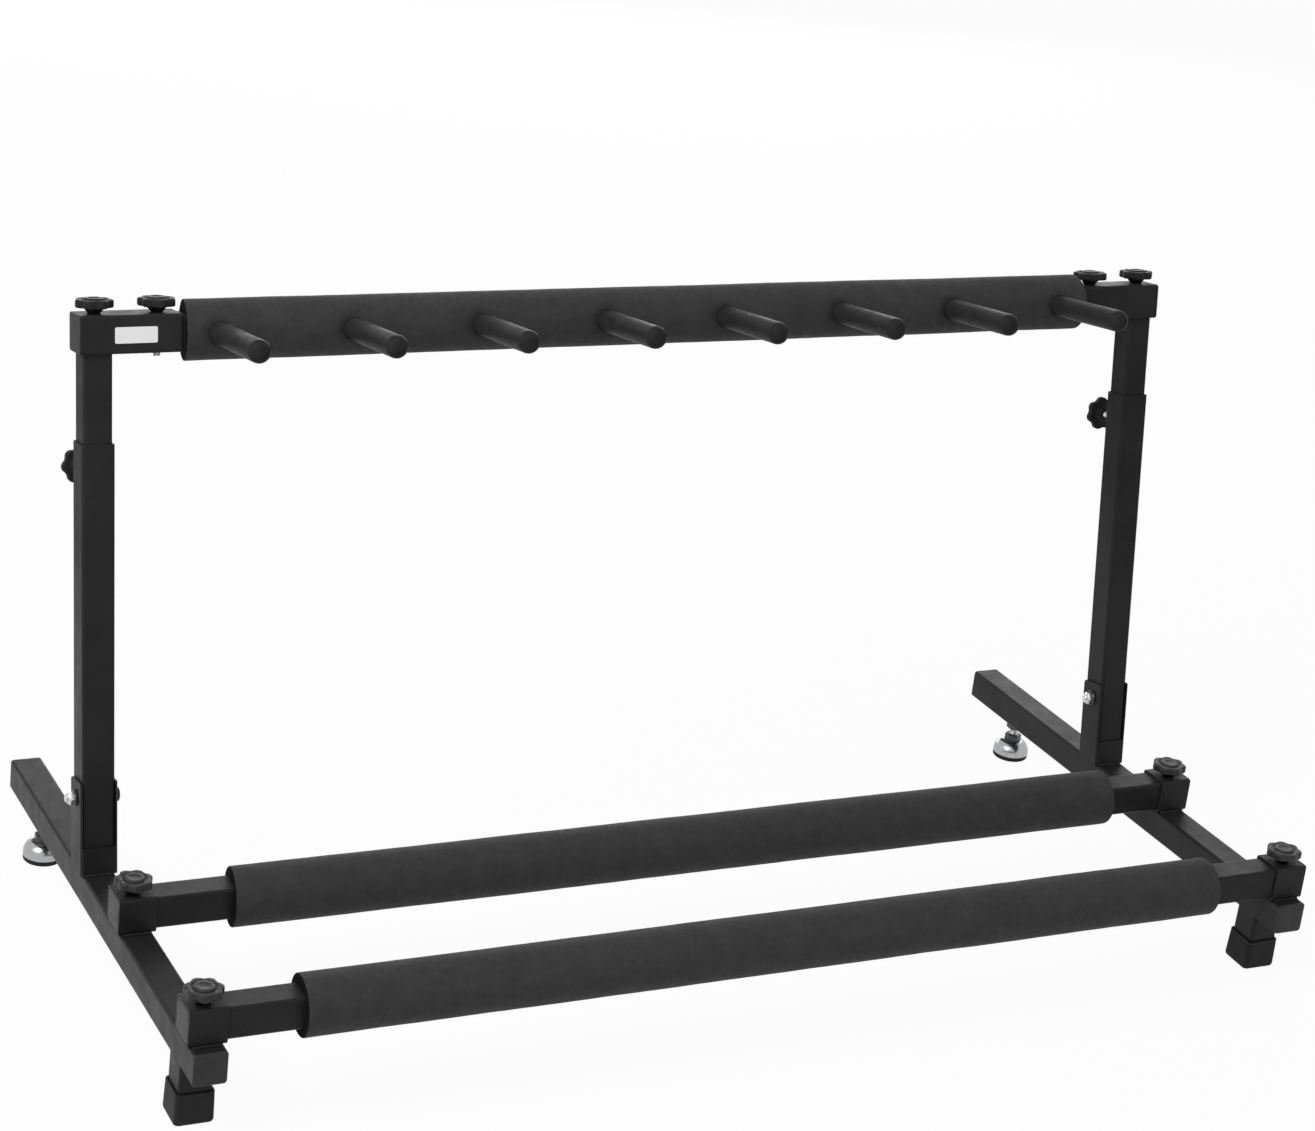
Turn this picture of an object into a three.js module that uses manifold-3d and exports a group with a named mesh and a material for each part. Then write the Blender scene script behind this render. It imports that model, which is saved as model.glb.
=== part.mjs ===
// A folding racket display stand: two welded side frames joined by two padded crossbars, and a padded
// top bar with pegs on telescoping uprights that fold forward over the base.
// Millimetres, +X right, +Y to the rear, +Z up. The origin is on the ground under the middle of the base.
import * as THREE from "three";
import { mergeVertices } from "three/addons/utils/BufferGeometryUtils.js";
import Module from "manifold-3d";

const wasm = await Module();
wasm.setup();

// Base
const railSpacing = 910; // between the centre lines of the two rails
const railLength = 480; // over both end plugs
const railFrontHeight = 72; // ground to the rail's top face at its front end
const railTilt = THREE.MathUtils.degToRad(1.6); // the rails drop towards the rear
const legSetback = 38.5; // rail's front end to the leg's axis
const glideInset = 60; // rear glide's axis to the rail's rear end
const frontBarSetback = 23.5; // rail's front end to the front crossbar's axis
const rearBarSetback = 188;
const hingeSetback = 284.5; // rail's front end to the upright's axis, on the rail's top face

// Stock and fits
const tube = 25; // square tube of the rails, legs, bars and lower uprights
const tubeWall = 1.2;
const tubeCorner = 2.5; // outer corner radius
const sheet = 1.5; // sheet steel of the brackets, sleeves and hinge channels
const gap = 0.3; // clearance between neighbouring pieces
const overrun = 5; // how far a cutting shape runs past what it cuts
const bite = 0.2; // how far a welded-on detail sinks into its tube
const mergeDistance = 0.0001; // points closer than this are one corner

// Uprights
const uprightLean = THREE.MathUtils.degToRad(10.7); // back from plumb
const pivotHeight = 56; // these heights run along the upright, from the rail's top face
const cheekAbovePivot = 14;
const stopHeight = 19; // the channel's front web, which the upright's foot leans on
const shoulderHeight = 326; // top of the lower upright
const lockDrop = 24; // lock knob's axis below the shoulder
const exposedLength = 66.5; // upper upright showing between the shoulder and the corner sleeve
const loweringTravel = 40; // how far the upper frame can sink from here
const footSwingClearance = 1; // between the upright's foot and the rail while it folds
const cheekCorner = 4;

// Top bar and pegs
const cornerKnobSpacing = 47; // between the two knobs on a corner sleeve
const cornerEnd = 15; // inner knob's axis to the sleeve's inner end
const pegCount = 8;
const pegInset = 27.25; // a corner sleeve's inner end to the nearest peg's axis
const pegReach = 113; // bar's axis to the peg's tip
const pegDiameter = 17.5;
const pegRodDiameter = 8;
const pegTipWall = 6;
const pegTipRounding = 2;

// Foam sleeves
const foamDiameter = 46;
const foamEdge = 2.5; // rounding of the foam's ends
const frontBareLeft = 56; // bar that shows between a bracket or sleeve and the foam's end
const frontBareRight = 60;
const rearBareLeft = 60;
const rearBareRight = 52.5;
const topBareLeft = 5;
const topBareRight = 1.2;

// Star knobs with moulded-in studs
const knobDiameter = 28.5; // over the lobes
const knobLobes = 7;
const knobHeight = 11;
const knobRim = 6; // thickness of the lobed rim
const knobSeatDiameter = 10; // the hub flares from the seat up to the rim
const knobHubDiameter = 16;
const knobBossDiameter = 15; // raised round on top
const knobBossHeight = 0.9;
const knobLobeShare = 0.13; // depth of the valleys between lobes, of the rim's radius
const knobChamferShare = 0.18; // of the rim's thickness
const studDiameter = 6;
const studInNut = 9.5; // stud below the seat, where it screws into a captive nut
const studShowing = 4; // end of the long stud under the corner sleeve
const lockStandoff = 16.8; // lower upright's rear face to the lock knob's seat

// Hinge fasteners and captive nuts
const boltDiameter = 6;
const hexWidth = 10; // across flats
const boltHeadHeight = 4;
const nutHeight = 5;
const lockNutHeight = 5; // thin pattern
const washerDiameter = 13;
const washerThickness = 1.2;
const boltEnd = 1.5; // thread showing past the lock nut
const topPlate = 2;

// Feet and plugs
const capWall = 1.5;
const capFloor = 4;
const capHeight = 25;
const capFlare = 0.5;
const capChamfer = 1.2;
const plugFlange = 2;
const railPlugInsert = 12;
const barPlugClearance = 1; // between a crossbar's plug and its captive nut
const cornerPlugInsert = 14;
const plugBarb = 0.8;
const plugLeadShare = 0.3; // tapered part of an insert
const plugChamfer = 0.6;
const plugProngShare = 0.75; // width of a corner plug's prongs, of the upright's
const glideDiameter = 32;
const glideSkirt = 5; // height of the straight side
const glideCrown = 13; // top of the dome
const glideLip = 1;
const glideCollarDiameter = 15;
const glideCollarHeight = 9;
const glideStemDiameter = 8;
const glideStemInRail = 14;
const glideNutWidth = 13;
const glideNutHeight = 7;

// Facets
const cornerSteps = 2;
const roundSides = 16;
const studSides = 10;
const domeSteps = 3;
const foamSides = 28;
const knobSides = 28;

// Sizes that follow from those above
const half = tube / 2;
const inside = tube - 2 * tubeWall;
const bore = tube + 2 * gap; // opening that a tube slides into
const sleeve = bore + 2 * sheet; // outside of brackets, corner sleeves and hinge channels
const upperTube = inside - 2 * gap;
const boltHole = boltDiameter + 2 * gap;
const studHole = studDiameter + 2 * gap;
const sideX = railSpacing / 2;
const glideSetback = railLength - glideInset;
const cheekHeight = pivotHeight + cheekAbovePivot;
const lockHeight = shoulderHeight - lockDrop;
const cornerReach = cornerKnobSpacing + cornerEnd; // upright's axis to the sleeve's inner end
const bracketFaceX = sideX - sleeve / 2;
const cornerEndX = sideX - cornerReach;
const pegPitch = (2 * (cornerEndX - pegInset)) / (pegCount - 1);
const barPlugInsert = sleeve / 2 - plugFlange - hexWidth / Math.sqrt(3) - barPlugClearance;
const innerCorner = tubeCorner - tubeWall;
const railFrontY = (tube * Math.sin(railTilt) - railLength * Math.cos(railTilt)) / 2;
const barHeight = gap + sleeve / 2; // crossbar's axis above the rail's top face
const cornerHeight = shoulderHeight + exposedLength; // underside of the corner sleeve
const topBarHeight = cornerHeight + sleeve / 2;
const cornerTop = cornerHeight + sleeve;
const lean = uprightLean - railTilt; // upright against the rail's square

const colours = {
  steel: { color: 0x2d2d2f, roughness: 0.55, metalness: 0.35 },
  foam: { color: 0x3a3a3b, roughness: 0.95, metalness: 0 },
  rubber: { color: 0x303032, roughness: 0.6, metalness: 0 },
  plastic: { color: 0x29292b, roughness: 0.5, metalness: 0 },
  zinc: { color: 0xc9ccd0, roughness: 0.3, metalness: 0.95 },
};

// Turns a closed geometry into a solid that can be joined and cut.
function solidOf(geometry) {
  const bare = geometry.clone();
  bare.deleteAttribute("normal");
  bare.deleteAttribute("uv");
  const merged = mergeVertices(bare, mergeDistance);
  return new wasm.Manifold(
    new wasm.Mesh({
      numProp: 3,
      vertProperties: new Float32Array(merged.attributes.position.array),
      triVerts: new Uint32Array(merged.index.array),
    }),
  );
}

function geometryOf(solid) {
  const mesh = solid.getMesh();
  const geometry = new THREE.BufferGeometry();
  geometry.setAttribute("position", new THREE.BufferAttribute(mesh.vertProperties, 3));
  geometry.setIndex(new THREE.BufferAttribute(mesh.triVerts, 1));
  return geometry;
}

function weld(base, ...others) {
  return geometryOf(others.reduce((whole, other) => whole.add(solidOf(other)), solidOf(base)));
}

function cut(base, ...tools) {
  return geometryOf(tools.reduce((whole, tool) => whole.subtract(solidOf(tool)), solidOf(base)));
}

function common(a, b) {
  return geometryOf(solidOf(a).intersect(solidOf(b)));
}

// A rod, or with six sides a hexagon, centred on the origin along one axis.
function rod(diameter, length, axis, sides = studSides) {
  const geometry = new THREE.CylinderGeometry(diameter / 2, diameter / 2, length, sides);
  if (axis === "z") geometry.rotateX(Math.PI / 2);
  if (axis === "x") geometry.rotateZ(Math.PI / 2);
  return geometry;
}

function hexagon(width, length, axis) {
  return rod(width / Math.cos(Math.PI / 6), length, axis, 6);
}

// A box between two corners.
function box(low, high) {
  const size = high.map((value, i) => value - low[i]);
  const geometry = new THREE.BoxGeometry(...size);
  return geometry.translate(...low.map((value, i) => value + size[i] / 2));
}

// The outline of a square with rounded corners, anticlockwise.
function roundedSquare(size, radius) {
  const flat = size / 2 - radius;
  const points = [];
  for (let corner = 0; corner < 4; corner++) {
    const start = (corner * Math.PI) / 2;
    const x = flat * Math.SQRT2 * Math.cos(start + Math.PI / 4);
    const y = flat * Math.SQRT2 * Math.sin(start + Math.PI / 4);
    for (let step = 0; step <= cornerSteps; step++) {
      const angle = start + (step * Math.PI) / 2 / cornerSteps;
      points.push(new THREE.Vector2(x + radius * Math.cos(angle), y + radius * Math.sin(angle)));
    }
  }
  return points;
}

// A bar of one outline, centred on the origin and running along one axis.
function prism(outline, length, axis, opening) {
  const shape = new THREE.Shape(outline);
  if (opening) shape.holes.push(new THREE.Path(opening));
  const geometry = new THREE.ExtrudeGeometry(shape, { depth: length, bevelEnabled: false });
  geometry.translate(0, 0, -length / 2);
  if (axis === "x") geometry.rotateY(Math.PI / 2);
  if (axis === "y") geometry.rotateX(-Math.PI / 2);
  return geometry;
}

function squareTube(size, wall, length, axis) {
  return prism(
    roundedSquare(size, tubeCorner),
    length,
    axis,
    roundedSquare(size - 2 * wall, tubeCorner - wall),
  );
}

// A solid through rings of points that all have the same count, closed over its first and last ring.
function loft(rings) {
  const count = rings[0].length;
  const points = rings.flat();
  const index = [];
  for (let ring = 0; ring + 1 < rings.length; ring++) {
    for (let i = 0; i < count; i++) {
      const low = ring * count + i;
      const next = ring * count + ((i + 1) % count);
      index.push(low, next, next + count, low, next + count, low + count);
    }
  }
  const middle = (ring) =>
    ring.reduce((sum, point) => sum.add(point), new THREE.Vector3()).divideScalar(count);
  points.push(middle(rings[0]), middle(rings[rings.length - 1]));
  const first = points.length - 2;
  const top = (rings.length - 1) * count;
  for (let i = 0; i < count; i++) {
    const next = (i + 1) % count;
    index.push(first, next, i, first + 1, top + i, top + next);
  }
  const geometry = new THREE.BufferGeometry().setFromPoints(points);
  geometry.setIndex(index);
  return geometry;
}

// A stack of rounded squares, given as pairs of size and height.
function squareStack(levels) {
  return loft(
    levels.map(([size, height]) =>
      roundedSquare(size, tubeCorner).map((point) => new THREE.Vector3(point.x, point.y, height)),
    ),
  );
}

// A turned piece along Z. The profile is pairs of radius and height, from the axis to the axis.
function turned(profile, sides) {
  const points = profile.map(([radius, height]) => new THREE.Vector2(radius, height));
  return new THREE.LatheGeometry(points, sides).rotateX(Math.PI / 2);
}

function add(parent, name, geometry, finish) {
  const material = new THREE.MeshStandardMaterial({ ...colours[finish], flatShading: true });
  const mesh = new THREE.Mesh(geometry, material);
  mesh.name = name;
  parent.add(mesh);
  return mesh;
}

function group(parent, x, y, z, tilt) {
  const made = new THREE.Group();
  made.position.set(x, y, z);
  made.rotation.x = -tilt;
  parent.add(made);
  return made;
}

// Everything below the tilted top plane of the rail, seen in the frame of a piece that leans from it.
function belowRail(angle, height) {
  const reach = railLength;
  const slab = box([-reach, -reach, -reach], [reach, reach, 0]);
  return slab.rotateX(angle).translate(0, 0, height);
}

function endPlug(insert) {
  const core = inside - 2 * gap - 2 * plugBarb;
  const shoulder = -insert * (1 - plugLeadShare);
  return squareStack([
    [core - plugBarb, -insert],
    [core + 2 * plugBarb, shoulder],
    [core, shoulder],
    [core, 0],
    [tube, 0],
    [tube, plugFlange - plugChamfer],
    [tube - 2 * plugChamfer, plugFlange],
  ]);
}

// End cap of a corner sleeve. Its two prongs pass beside the upright.
function cornerPlug() {
  const flange = squareStack([
    [sleeve, 0],
    [sleeve, plugFlange - plugChamfer],
    [sleeve - 2 * plugChamfer, plugFlange],
  ]);
  const inner = upperTube / 2 + gap;
  const outer = bore / 2 - gap;
  const reach = (upperTube / 2) * plugProngShare;
  const prong = box([-reach, inner, -cornerPlugInsert], [reach, outer, bite]);
  return weld(flange, prong, prong.clone().rotateZ(Math.PI));
}

// A captive nut under a wall whose outer face is at the given place along an axis.
function captiveNut(axis, at, direction) {
  const offset = at + direction * (nutHeight / 2 - bite);
  const nut = hexagon(hexWidth, nutHeight, axis);
  return axis === "y" ? nut.translate(0, offset, 0) : nut.translate(0, 0, offset);
}

function baseRail() {
  const length = railLength - 2 * (plugFlange + gap);
  const rail = squareTube(tube, tubeWall, length, "y").translate(0, railLength / 2, -half);
  const drop = glideNutHeight / 2 - bite;
  const nut = hexagon(glideNutWidth, glideNutHeight, "z").translate(0, 0, -drop);
  nut.rotateX(railTilt).translate(0, glideSetback, -tube);
  const hole = rod(glideStemDiameter + 2 * gap, 2 * glideNutHeight + tube, "z", roundSides);
  hole.translate(0, 0, -half).rotateX(railTilt).translate(0, glideSetback, -tube);
  return cut(weld(rail, nut), hole);
}

// Square bracket that a crossbar's end slides into, open along X, with a hole for the knob's stud.
function barBracket() {
  const shell = squareTube(sleeve, sheet, sleeve, "x");
  return cut(shell, rod(studHole, sleeve, "z").translate(0, 0, sleeve / 2));
}

function crossbar() {
  const reach = sideX + sleeve / 2 - plugFlange - gap;
  let bar = squareTube(tube, tubeWall, 2 * reach, "x");
  for (const side of [-1, 1]) {
    const nut = captiveNut("z", half - tubeWall, -1).translate(side * sideX, 0, 0);
    const hole = rod(studHole, tube, "z").translate(side * sideX, 0, half);
    bar = cut(weld(bar, nut), hole);
  }
  return bar;
}

function leg(topPlaneHeight) {
  const bottom = capFloor + gap;
  const length = topPlaneHeight + overrun - bottom;
  const post = squareTube(tube, tubeWall, length, "z").translate(0, 0, bottom + length / 2);
  const rail = box([-tube, -tube, 0], [tube, tube, tube]);
  return cut(post, rail.rotateX(-railTilt).translate(0, 0, topPlaneHeight - gap));
}

function footCap() {
  const size = tube + 2 * (gap + capWall);
  const outer = squareStack([
    [size + 2 * (capFlare - capChamfer), 0],
    [size + 2 * capFlare, capChamfer],
    [size, capHeight - capChamfer],
    [size - capChamfer, capHeight],
  ]);
  const well = prism(roundedSquare(bore, tubeCorner), capHeight, "z");
  return cut(outer, well.translate(0, 0, capFloor + capHeight / 2));
}

function rearGlide(railUnderside) {
  const rim = glideDiameter / 2;
  const collar = glideCollarDiameter / 2;
  const collarTop = glideCrown + glideCollarHeight;
  const stemTop = railUnderside + glideStemInRail;
  const dome = Array.from({ length: domeSteps + 1 }, (_, i) => {
    const angle = (Math.PI / 2) * (i / domeSteps);
    const reach = collar + (rim - collar) * Math.cos(angle);
    return [reach, glideSkirt + (glideCrown - glideSkirt) * Math.sin(angle)];
  });
  return turned(
    [
      [0, 0],
      [rim - glideLip, 0],
      [rim, glideLip],
      ...dome,
      [collar, collarTop],
      [glideStemDiameter / 2, collarTop],
      [glideStemDiameter / 2, stemTop],
      [0, stemTop],
    ],
    roundSides,
  );
}

// Bent channel, open to the rear: two tall cheeks carry the pivot bolt and a low web stops the foot.
function hingeChannel() {
  const out = sleeve / 2;
  const within = bore / 2;
  const length = cheekHeight + 2 * overrun;
  const blank = prism(roundedSquare(sleeve, tubeCorner), length, "z").translate(0, 0, length / 2 - overrun);
  const side = new THREE.Shape();
  side.moveTo(-out, -2 * overrun);
  side.lineTo(half, -2 * overrun);
  side.lineTo(half, cheekHeight - cheekCorner);
  side.absarc(half - cheekCorner, cheekHeight - cheekCorner, cheekCorner, 0, Math.PI / 2, false);
  side.absarc(-out + cheekCorner, cheekHeight - cheekCorner, cheekCorner, Math.PI / 2, Math.PI, false);
  const flank = prism(side.getPoints(2 * cornerSteps), 2 * sleeve, "z");
  flank.rotateX(Math.PI / 2).rotateZ(Math.PI / 2);
  const slot = box([-within, -within, -2 * overrun], [within, sleeve, length]);
  const window = box([-within, -sleeve, stopHeight], [within, 0, length]);
  const pivot = rod(boltHole, 2 * sleeve, "x").translate(0, 0, pivotHeight);
  return cut(common(blank, flank), slot, window, pivot, belowRail(lean, gap / Math.cos(lean)));
}

// How far the upright's foot can hang below the pivot and still swing clear of the rail.
function footReach() {
  const clear = pivotHeight * Math.cos(lean) - gap - footSwingClearance;
  return Math.sqrt(clear ** 2 - half ** 2);
}

function lowerUpright() {
  const foot = pivotHeight - footReach();
  const length = shoulderHeight - foot;
  const post = squareTube(tube, tubeWall, length, "z").translate(0, 0, foot + length / 2);
  const nut = captiveNut("y", half, 1).translate(0, 0, lockHeight);
  const pivot = rod(boltHole, 2 * tube, "x").translate(0, 0, pivotHeight);
  const screw = rod(studHole, tube, "y").translate(0, half, lockHeight);
  return cut(weld(post, nut), pivot, screw);
}

// Telescopes in the lower upright. Its foot meets the pivot bolt when the frame is all the way down.
function upperUpright() {
  const foot = pivotHeight + boltDiameter / 2 + gap + loweringTravel;
  const top = cornerTop - sheet - gap;
  const post = squareTube(upperTube, tubeWall, top - foot, "z").translate(0, 0, (top + foot) / 2);
  const span = upperTube / 2 - tubeWall + bite;
  const plate = box([-span, -span, top - topPlate], [span, span, top]);
  const nut = captiveNut("z", top - topPlate, -1);
  return cut(weld(post, plate, nut), rod(studHole, 2 * tube, "z").translate(0, 0, top));
}

// Sleeve at the frame's top corner: the upright enters it from below and the top bar from the side.
function cornerSleeve(inward) {
  const start = -sleeve / 2 + plugFlange + gap;
  const length = cornerReach - start;
  const centreX = inward * (start + length / 2);
  const shell = squareTube(sleeve, sheet, length, "x").translate(centreX, 0, topBarHeight);
  const entryShape = roundedSquare(upperTube + 2 * gap, tubeCorner);
  const entry = prism(entryShape, sleeve, "z").translate(0, 0, cornerHeight);
  const outerHole = rod(studHole, sleeve, "z").translate(0, 0, cornerTop);
  const innerHole = rod(studHole, 2 * sleeve, "z").translate(inward * cornerKnobSpacing, 0, topBarHeight);
  return cut(shell, entry, outerHole, innerHole);
}

function pegPlaces() {
  return Array.from({ length: pegCount }, (_, i) => (i - (pegCount - 1) / 2) * pegPitch);
}

// Square bar with the peg rods welded through its front wall.
function topBar() {
  const reach = sideX - upperTube / 2 - gap;
  const knobX = sideX - cornerKnobSpacing;
  const rodStart = half - tubeWall;
  const rodLength = pegReach - pegTipWall - gap - rodStart;
  const rods = pegPlaces().map((x) =>
    rod(pegRodDiameter, rodLength, "y").translate(x, -rodStart - rodLength / 2, 0),
  );
  const holes = [-1, 1].map((side) => rod(studHole, 2 * tube, "z").translate(side * knobX, 0, 0));
  return cut(weld(squareTube(tube, tubeWall, 2 * reach, "x"), ...rods), ...holes);
}

// Closed rubber sleeve pushed over a peg rod, along Z with its mouth at zero.
function pegSleeve() {
  const radius = pegDiameter / 2;
  const hole = pegRodDiameter / 2 + gap;
  const length = pegReach - half - gap;
  return turned(
    [
      [0, length - pegTipWall],
      [hole, length - pegTipWall],
      [hole, 0],
      [radius, 0],
      [radius, length - pegTipRounding],
      [radius - pegTipRounding * (1 - Math.SQRT1_2), length - pegTipRounding * (1 - Math.SQRT1_2)],
      [radius - pegTipRounding, length],
      [0, length],
    ],
    roundSides,
  );
}

// Foam sleeve along X between two places, with rounded ends and a bore that fits the square bar.
function foamSleeve(left, right, cutters = []) {
  const radius = foamDiameter / 2;
  const ease = foamEdge * (1 - Math.SQRT1_2);
  const end = (at, way) => [
    [0, at],
    [radius - foamEdge, at],
    [radius - ease, at + way * ease],
    [radius, at + way * foamEdge],
  ];
  const outline = [...end(left, 1), ...end(right, -1).reverse()];
  const roll = turned(outline, foamSides).rotateY(Math.PI / 2);
  const core = prism(roundedSquare(bore, tubeCorner), right - left + 2 * overrun, "x");
  return cut(roll, core.translate((left + right) / 2, 0, 0), ...cutters);
}

// Where the pegs pass through the top foam, and room at its ends for the inner knobs.
function topFoamCutters() {
  const pegs = pegPlaces().map((x) =>
    rod(pegDiameter + 2 * gap, foamDiameter, "y", roundSides).translate(x, -foamDiameter / 2, 0),
  );
  const knobs = [-1, 1].map((side) =>
    knobClearance().translate(side * (sideX - cornerKnobSpacing), 0, sleeve / 2 + gap),
  );
  return [...pegs, ...knobs];
}

// Star knob along Z, seated at zero, with its stud below the seat.
function starKnob(studLength) {
  const rim = knobDiameter / 2;
  const rimTop = knobHeight - knobBossHeight;
  const rimLow = rimTop - knobRim;
  const boss = knobBossDiameter / 2;
  const chamfer = knobRim * knobChamferShare;
  const levels = [
    [knobSeatDiameter / 2, 0, 0],
    [knobHubDiameter / 2, rimLow, 0],
    [rim, rimLow, knobLobeShare],
    [rim, rimTop - chamfer, knobLobeShare],
    [rim - chamfer, rimTop, knobLobeShare],
    [boss, rimTop, 0],
    [boss - knobBossHeight / 2, knobHeight, 0],
  ];
  const head = loft(
    levels.map(([radius, height, lobeShare]) =>
      Array.from({ length: knobSides }, (_, i) => {
        const angle = (2 * Math.PI * i) / knobSides;
        const reach = radius * (1 - (lobeShare * (1 - Math.cos(knobLobes * angle))) / 2);
        return new THREE.Vector3(reach * Math.cos(angle), reach * Math.sin(angle), height);
      }),
    ),
  );
  return weld(head, rod(studDiameter, studLength + bite, "z").translate(0, 0, (bite - studLength) / 2));
}

// Room for a knob's head, out to its rim and up.
function knobClearance() {
  const rimLow = knobHeight - knobBossHeight - knobRim;
  const hub = knobHubDiameter / 2 + gap;
  const rim = knobDiameter / 2 + gap;
  const profile = [
    [0, -gap],
    [hub, -gap],
    [hub, rimLow - gap],
    [rim, rimLow - gap],
    [rim, knobHeight + foamDiameter],
    [0, knobHeight + foamDiameter],
  ];
  return turned(profile, knobSides);
}

// Pivot bolt along X, with its head on the right cheek and its thread run out past the nut on the left.
function hingeBolt() {
  const seat = sleeve / 2 + gap;
  const end = -seat - washerThickness - lockNutHeight - boltEnd;
  const length = seat + bite - end;
  const shank = rod(boltDiameter, length, "x").translate(end + length / 2, 0, 0);
  const head = hexagon(hexWidth, boltHeadHeight, "x").translate(seat + boltHeadHeight / 2, 0, 0);
  return weld(shank, head);
}

function hingeNut() {
  const seat = sleeve / 2 + gap;
  const washerX = -seat - washerThickness / 2;
  const washer = rod(washerDiameter, washerThickness, "x", roundSides).translate(washerX, 0, 0);
  const nutX = -seat - washerThickness - lockNutHeight / 2 + bite;
  const nut = hexagon(hexWidth, lockNutHeight, "x").translate(nutX, 0, 0);
  return cut(weld(washer, nut), rod(boltHole, 4 * sleeve, "x"));
}

// Places in the world that the tilted rails and the leaning uprights give.
function railPoint(setback) {
  return {
    y: railFrontY + setback * Math.cos(railTilt),
    z: railFrontHeight - setback * Math.sin(railTilt),
  };
}

// Height of the rail's underside straight above a point on the ground.
function undersideAt(y) {
  return railFrontHeight - (y - railFrontY) * Math.tan(railTilt) - tube / Math.cos(railTilt);
}

function addSideFrame(stand, side, name) {
  const x = side * sideX;
  const rail = group(stand, x, railFrontY, railFrontHeight, railTilt);
  add(rail, `base_rail_${name}`, baseRail(), "steel");
  const frontPlug = add(rail, `rail_front_plug_${name}`, endPlug(railPlugInsert), "plastic");
  frontPlug.position.set(0, plugFlange, -half);
  frontPlug.rotation.x = Math.PI / 2;
  const rearPlug = add(rail, `rail_rear_plug_${name}`, endPlug(railPlugInsert), "plastic");
  rearPlug.position.set(0, railLength - plugFlange, -half);
  rearPlug.rotation.x = -Math.PI / 2;
  for (const [place, setback] of [["front", frontBarSetback], ["rear", rearBarSetback]]) {
    const bracket = add(rail, `${place}_bracket_${name}`, barBracket(), "steel");
    bracket.position.set(0, setback, barHeight);
    const knob = add(rail, `${place}_bar_knob_${name}`, starKnob(studInNut), "plastic");
    knob.position.set(0, setback, gap + sleeve + gap);
  }

  const legY = railPoint(legSetback).y;
  const frontFoot = group(stand, x, legY, 0, 0);
  add(frontFoot, `front_leg_${name}`, leg(undersideAt(legY)), "steel");
  add(frontFoot, `foot_cap_${name}`, footCap(), "rubber");
  const glideY = railPoint(glideSetback).y - tube * Math.sin(railTilt);
  const rearFoot = group(stand, x, glideY, 0, 0);
  add(rearFoot, `rear_glide_${name}`, rearGlide(undersideAt(glideY)), "zinc");

  const seat = railPoint(hingeSetback);
  const upright = group(stand, x, seat.y, seat.z, uprightLean);
  add(upright, `hinge_channel_${name}`, hingeChannel(), "steel");
  const bolt = add(upright, `hinge_bolt_${name}`, hingeBolt(), "zinc");
  const nut = add(upright, `hinge_nut_${name}`, hingeNut(), "zinc");
  bolt.position.z = pivotHeight;
  nut.position.z = pivotHeight;
  add(upright, `lower_upright_${name}`, lowerUpright(), "steel");
  const lock = add(upright, `height_lock_knob_${name}`, starKnob(lockStandoff + tubeWall), "plastic");
  lock.position.set(0, half + lockStandoff, lockHeight);
  lock.rotation.x = -Math.PI / 2;

  add(upright, `upper_upright_${name}`, upperUpright(), "steel");
  add(upright, `corner_sleeve_${name}`, cornerSleeve(-side), "steel");
  const plug = add(upright, `corner_plug_${name}`, cornerPlug(), "plastic");
  plug.position.set(side * (sleeve / 2 - plugFlange), 0, topBarHeight);
  plug.rotation.y = (side * Math.PI) / 2;
  const outerKnob = add(upright, `corner_outer_knob_${name}`, starKnob(studInNut), "plastic");
  outerKnob.position.set(0, 0, cornerTop + gap);
  const longStud = gap + sleeve + studShowing;
  const innerKnob = add(upright, `corner_inner_knob_${name}`, starKnob(longStud), "plastic");
  innerKnob.position.set(-side * cornerKnobSpacing, 0, cornerTop + gap);
}

function addCrossbar(stand, name, setback, bareLeft, bareRight) {
  const carrier = group(stand, 0, railFrontY, railFrontHeight, railTilt);
  add(carrier, `${name}_crossbar`, crossbar(), "steel").position.set(0, setback, barHeight);
  const foam = foamSleeve(bareLeft - bracketFaceX, bracketFaceX - bareRight);
  add(carrier, `${name}_foam`, foam, "foam").position.set(0, setback, barHeight);
  for (const [side, end] of [[-1, "left"], [1, "right"]]) {
    const plug = add(carrier, `${name}_bar_plug_${end}`, endPlug(barPlugInsert), "plastic");
    plug.position.set(side * (sideX + sleeve / 2 - plugFlange), setback, barHeight);
    plug.rotation.y = (side * Math.PI) / 2;
  }
}

function addTopBar(stand) {
  const seat = railPoint(hingeSetback);
  const carrier = group(stand, 0, seat.y, seat.z, uprightLean);
  add(carrier, "top_bar", topBar(), "steel").position.z = topBarHeight;
  const foam = foamSleeve(topBareLeft - cornerEndX, cornerEndX - topBareRight, topFoamCutters());
  add(carrier, "top_foam", foam, "foam").position.z = topBarHeight;
  pegPlaces().forEach((x, i) => {
    const peg = add(carrier, `peg_sleeve_${i + 1}`, pegSleeve(), "rubber");
    peg.position.set(x, -half - gap, topBarHeight);
    peg.rotation.x = Math.PI / 2;
  });
}

const stand = new THREE.Group();
addSideFrame(stand, -1, "left");
addSideFrame(stand, 1, "right");
addCrossbar(stand, "front", frontBarSetback, frontBareLeft, frontBareRight);
addCrossbar(stand, "rear", rearBarSetback, rearBareLeft, rearBareRight);
addTopBar(stand);

export default stand;
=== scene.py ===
import math

import bmesh
import bpy
from mathutils import Matrix, Vector, noise


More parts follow.
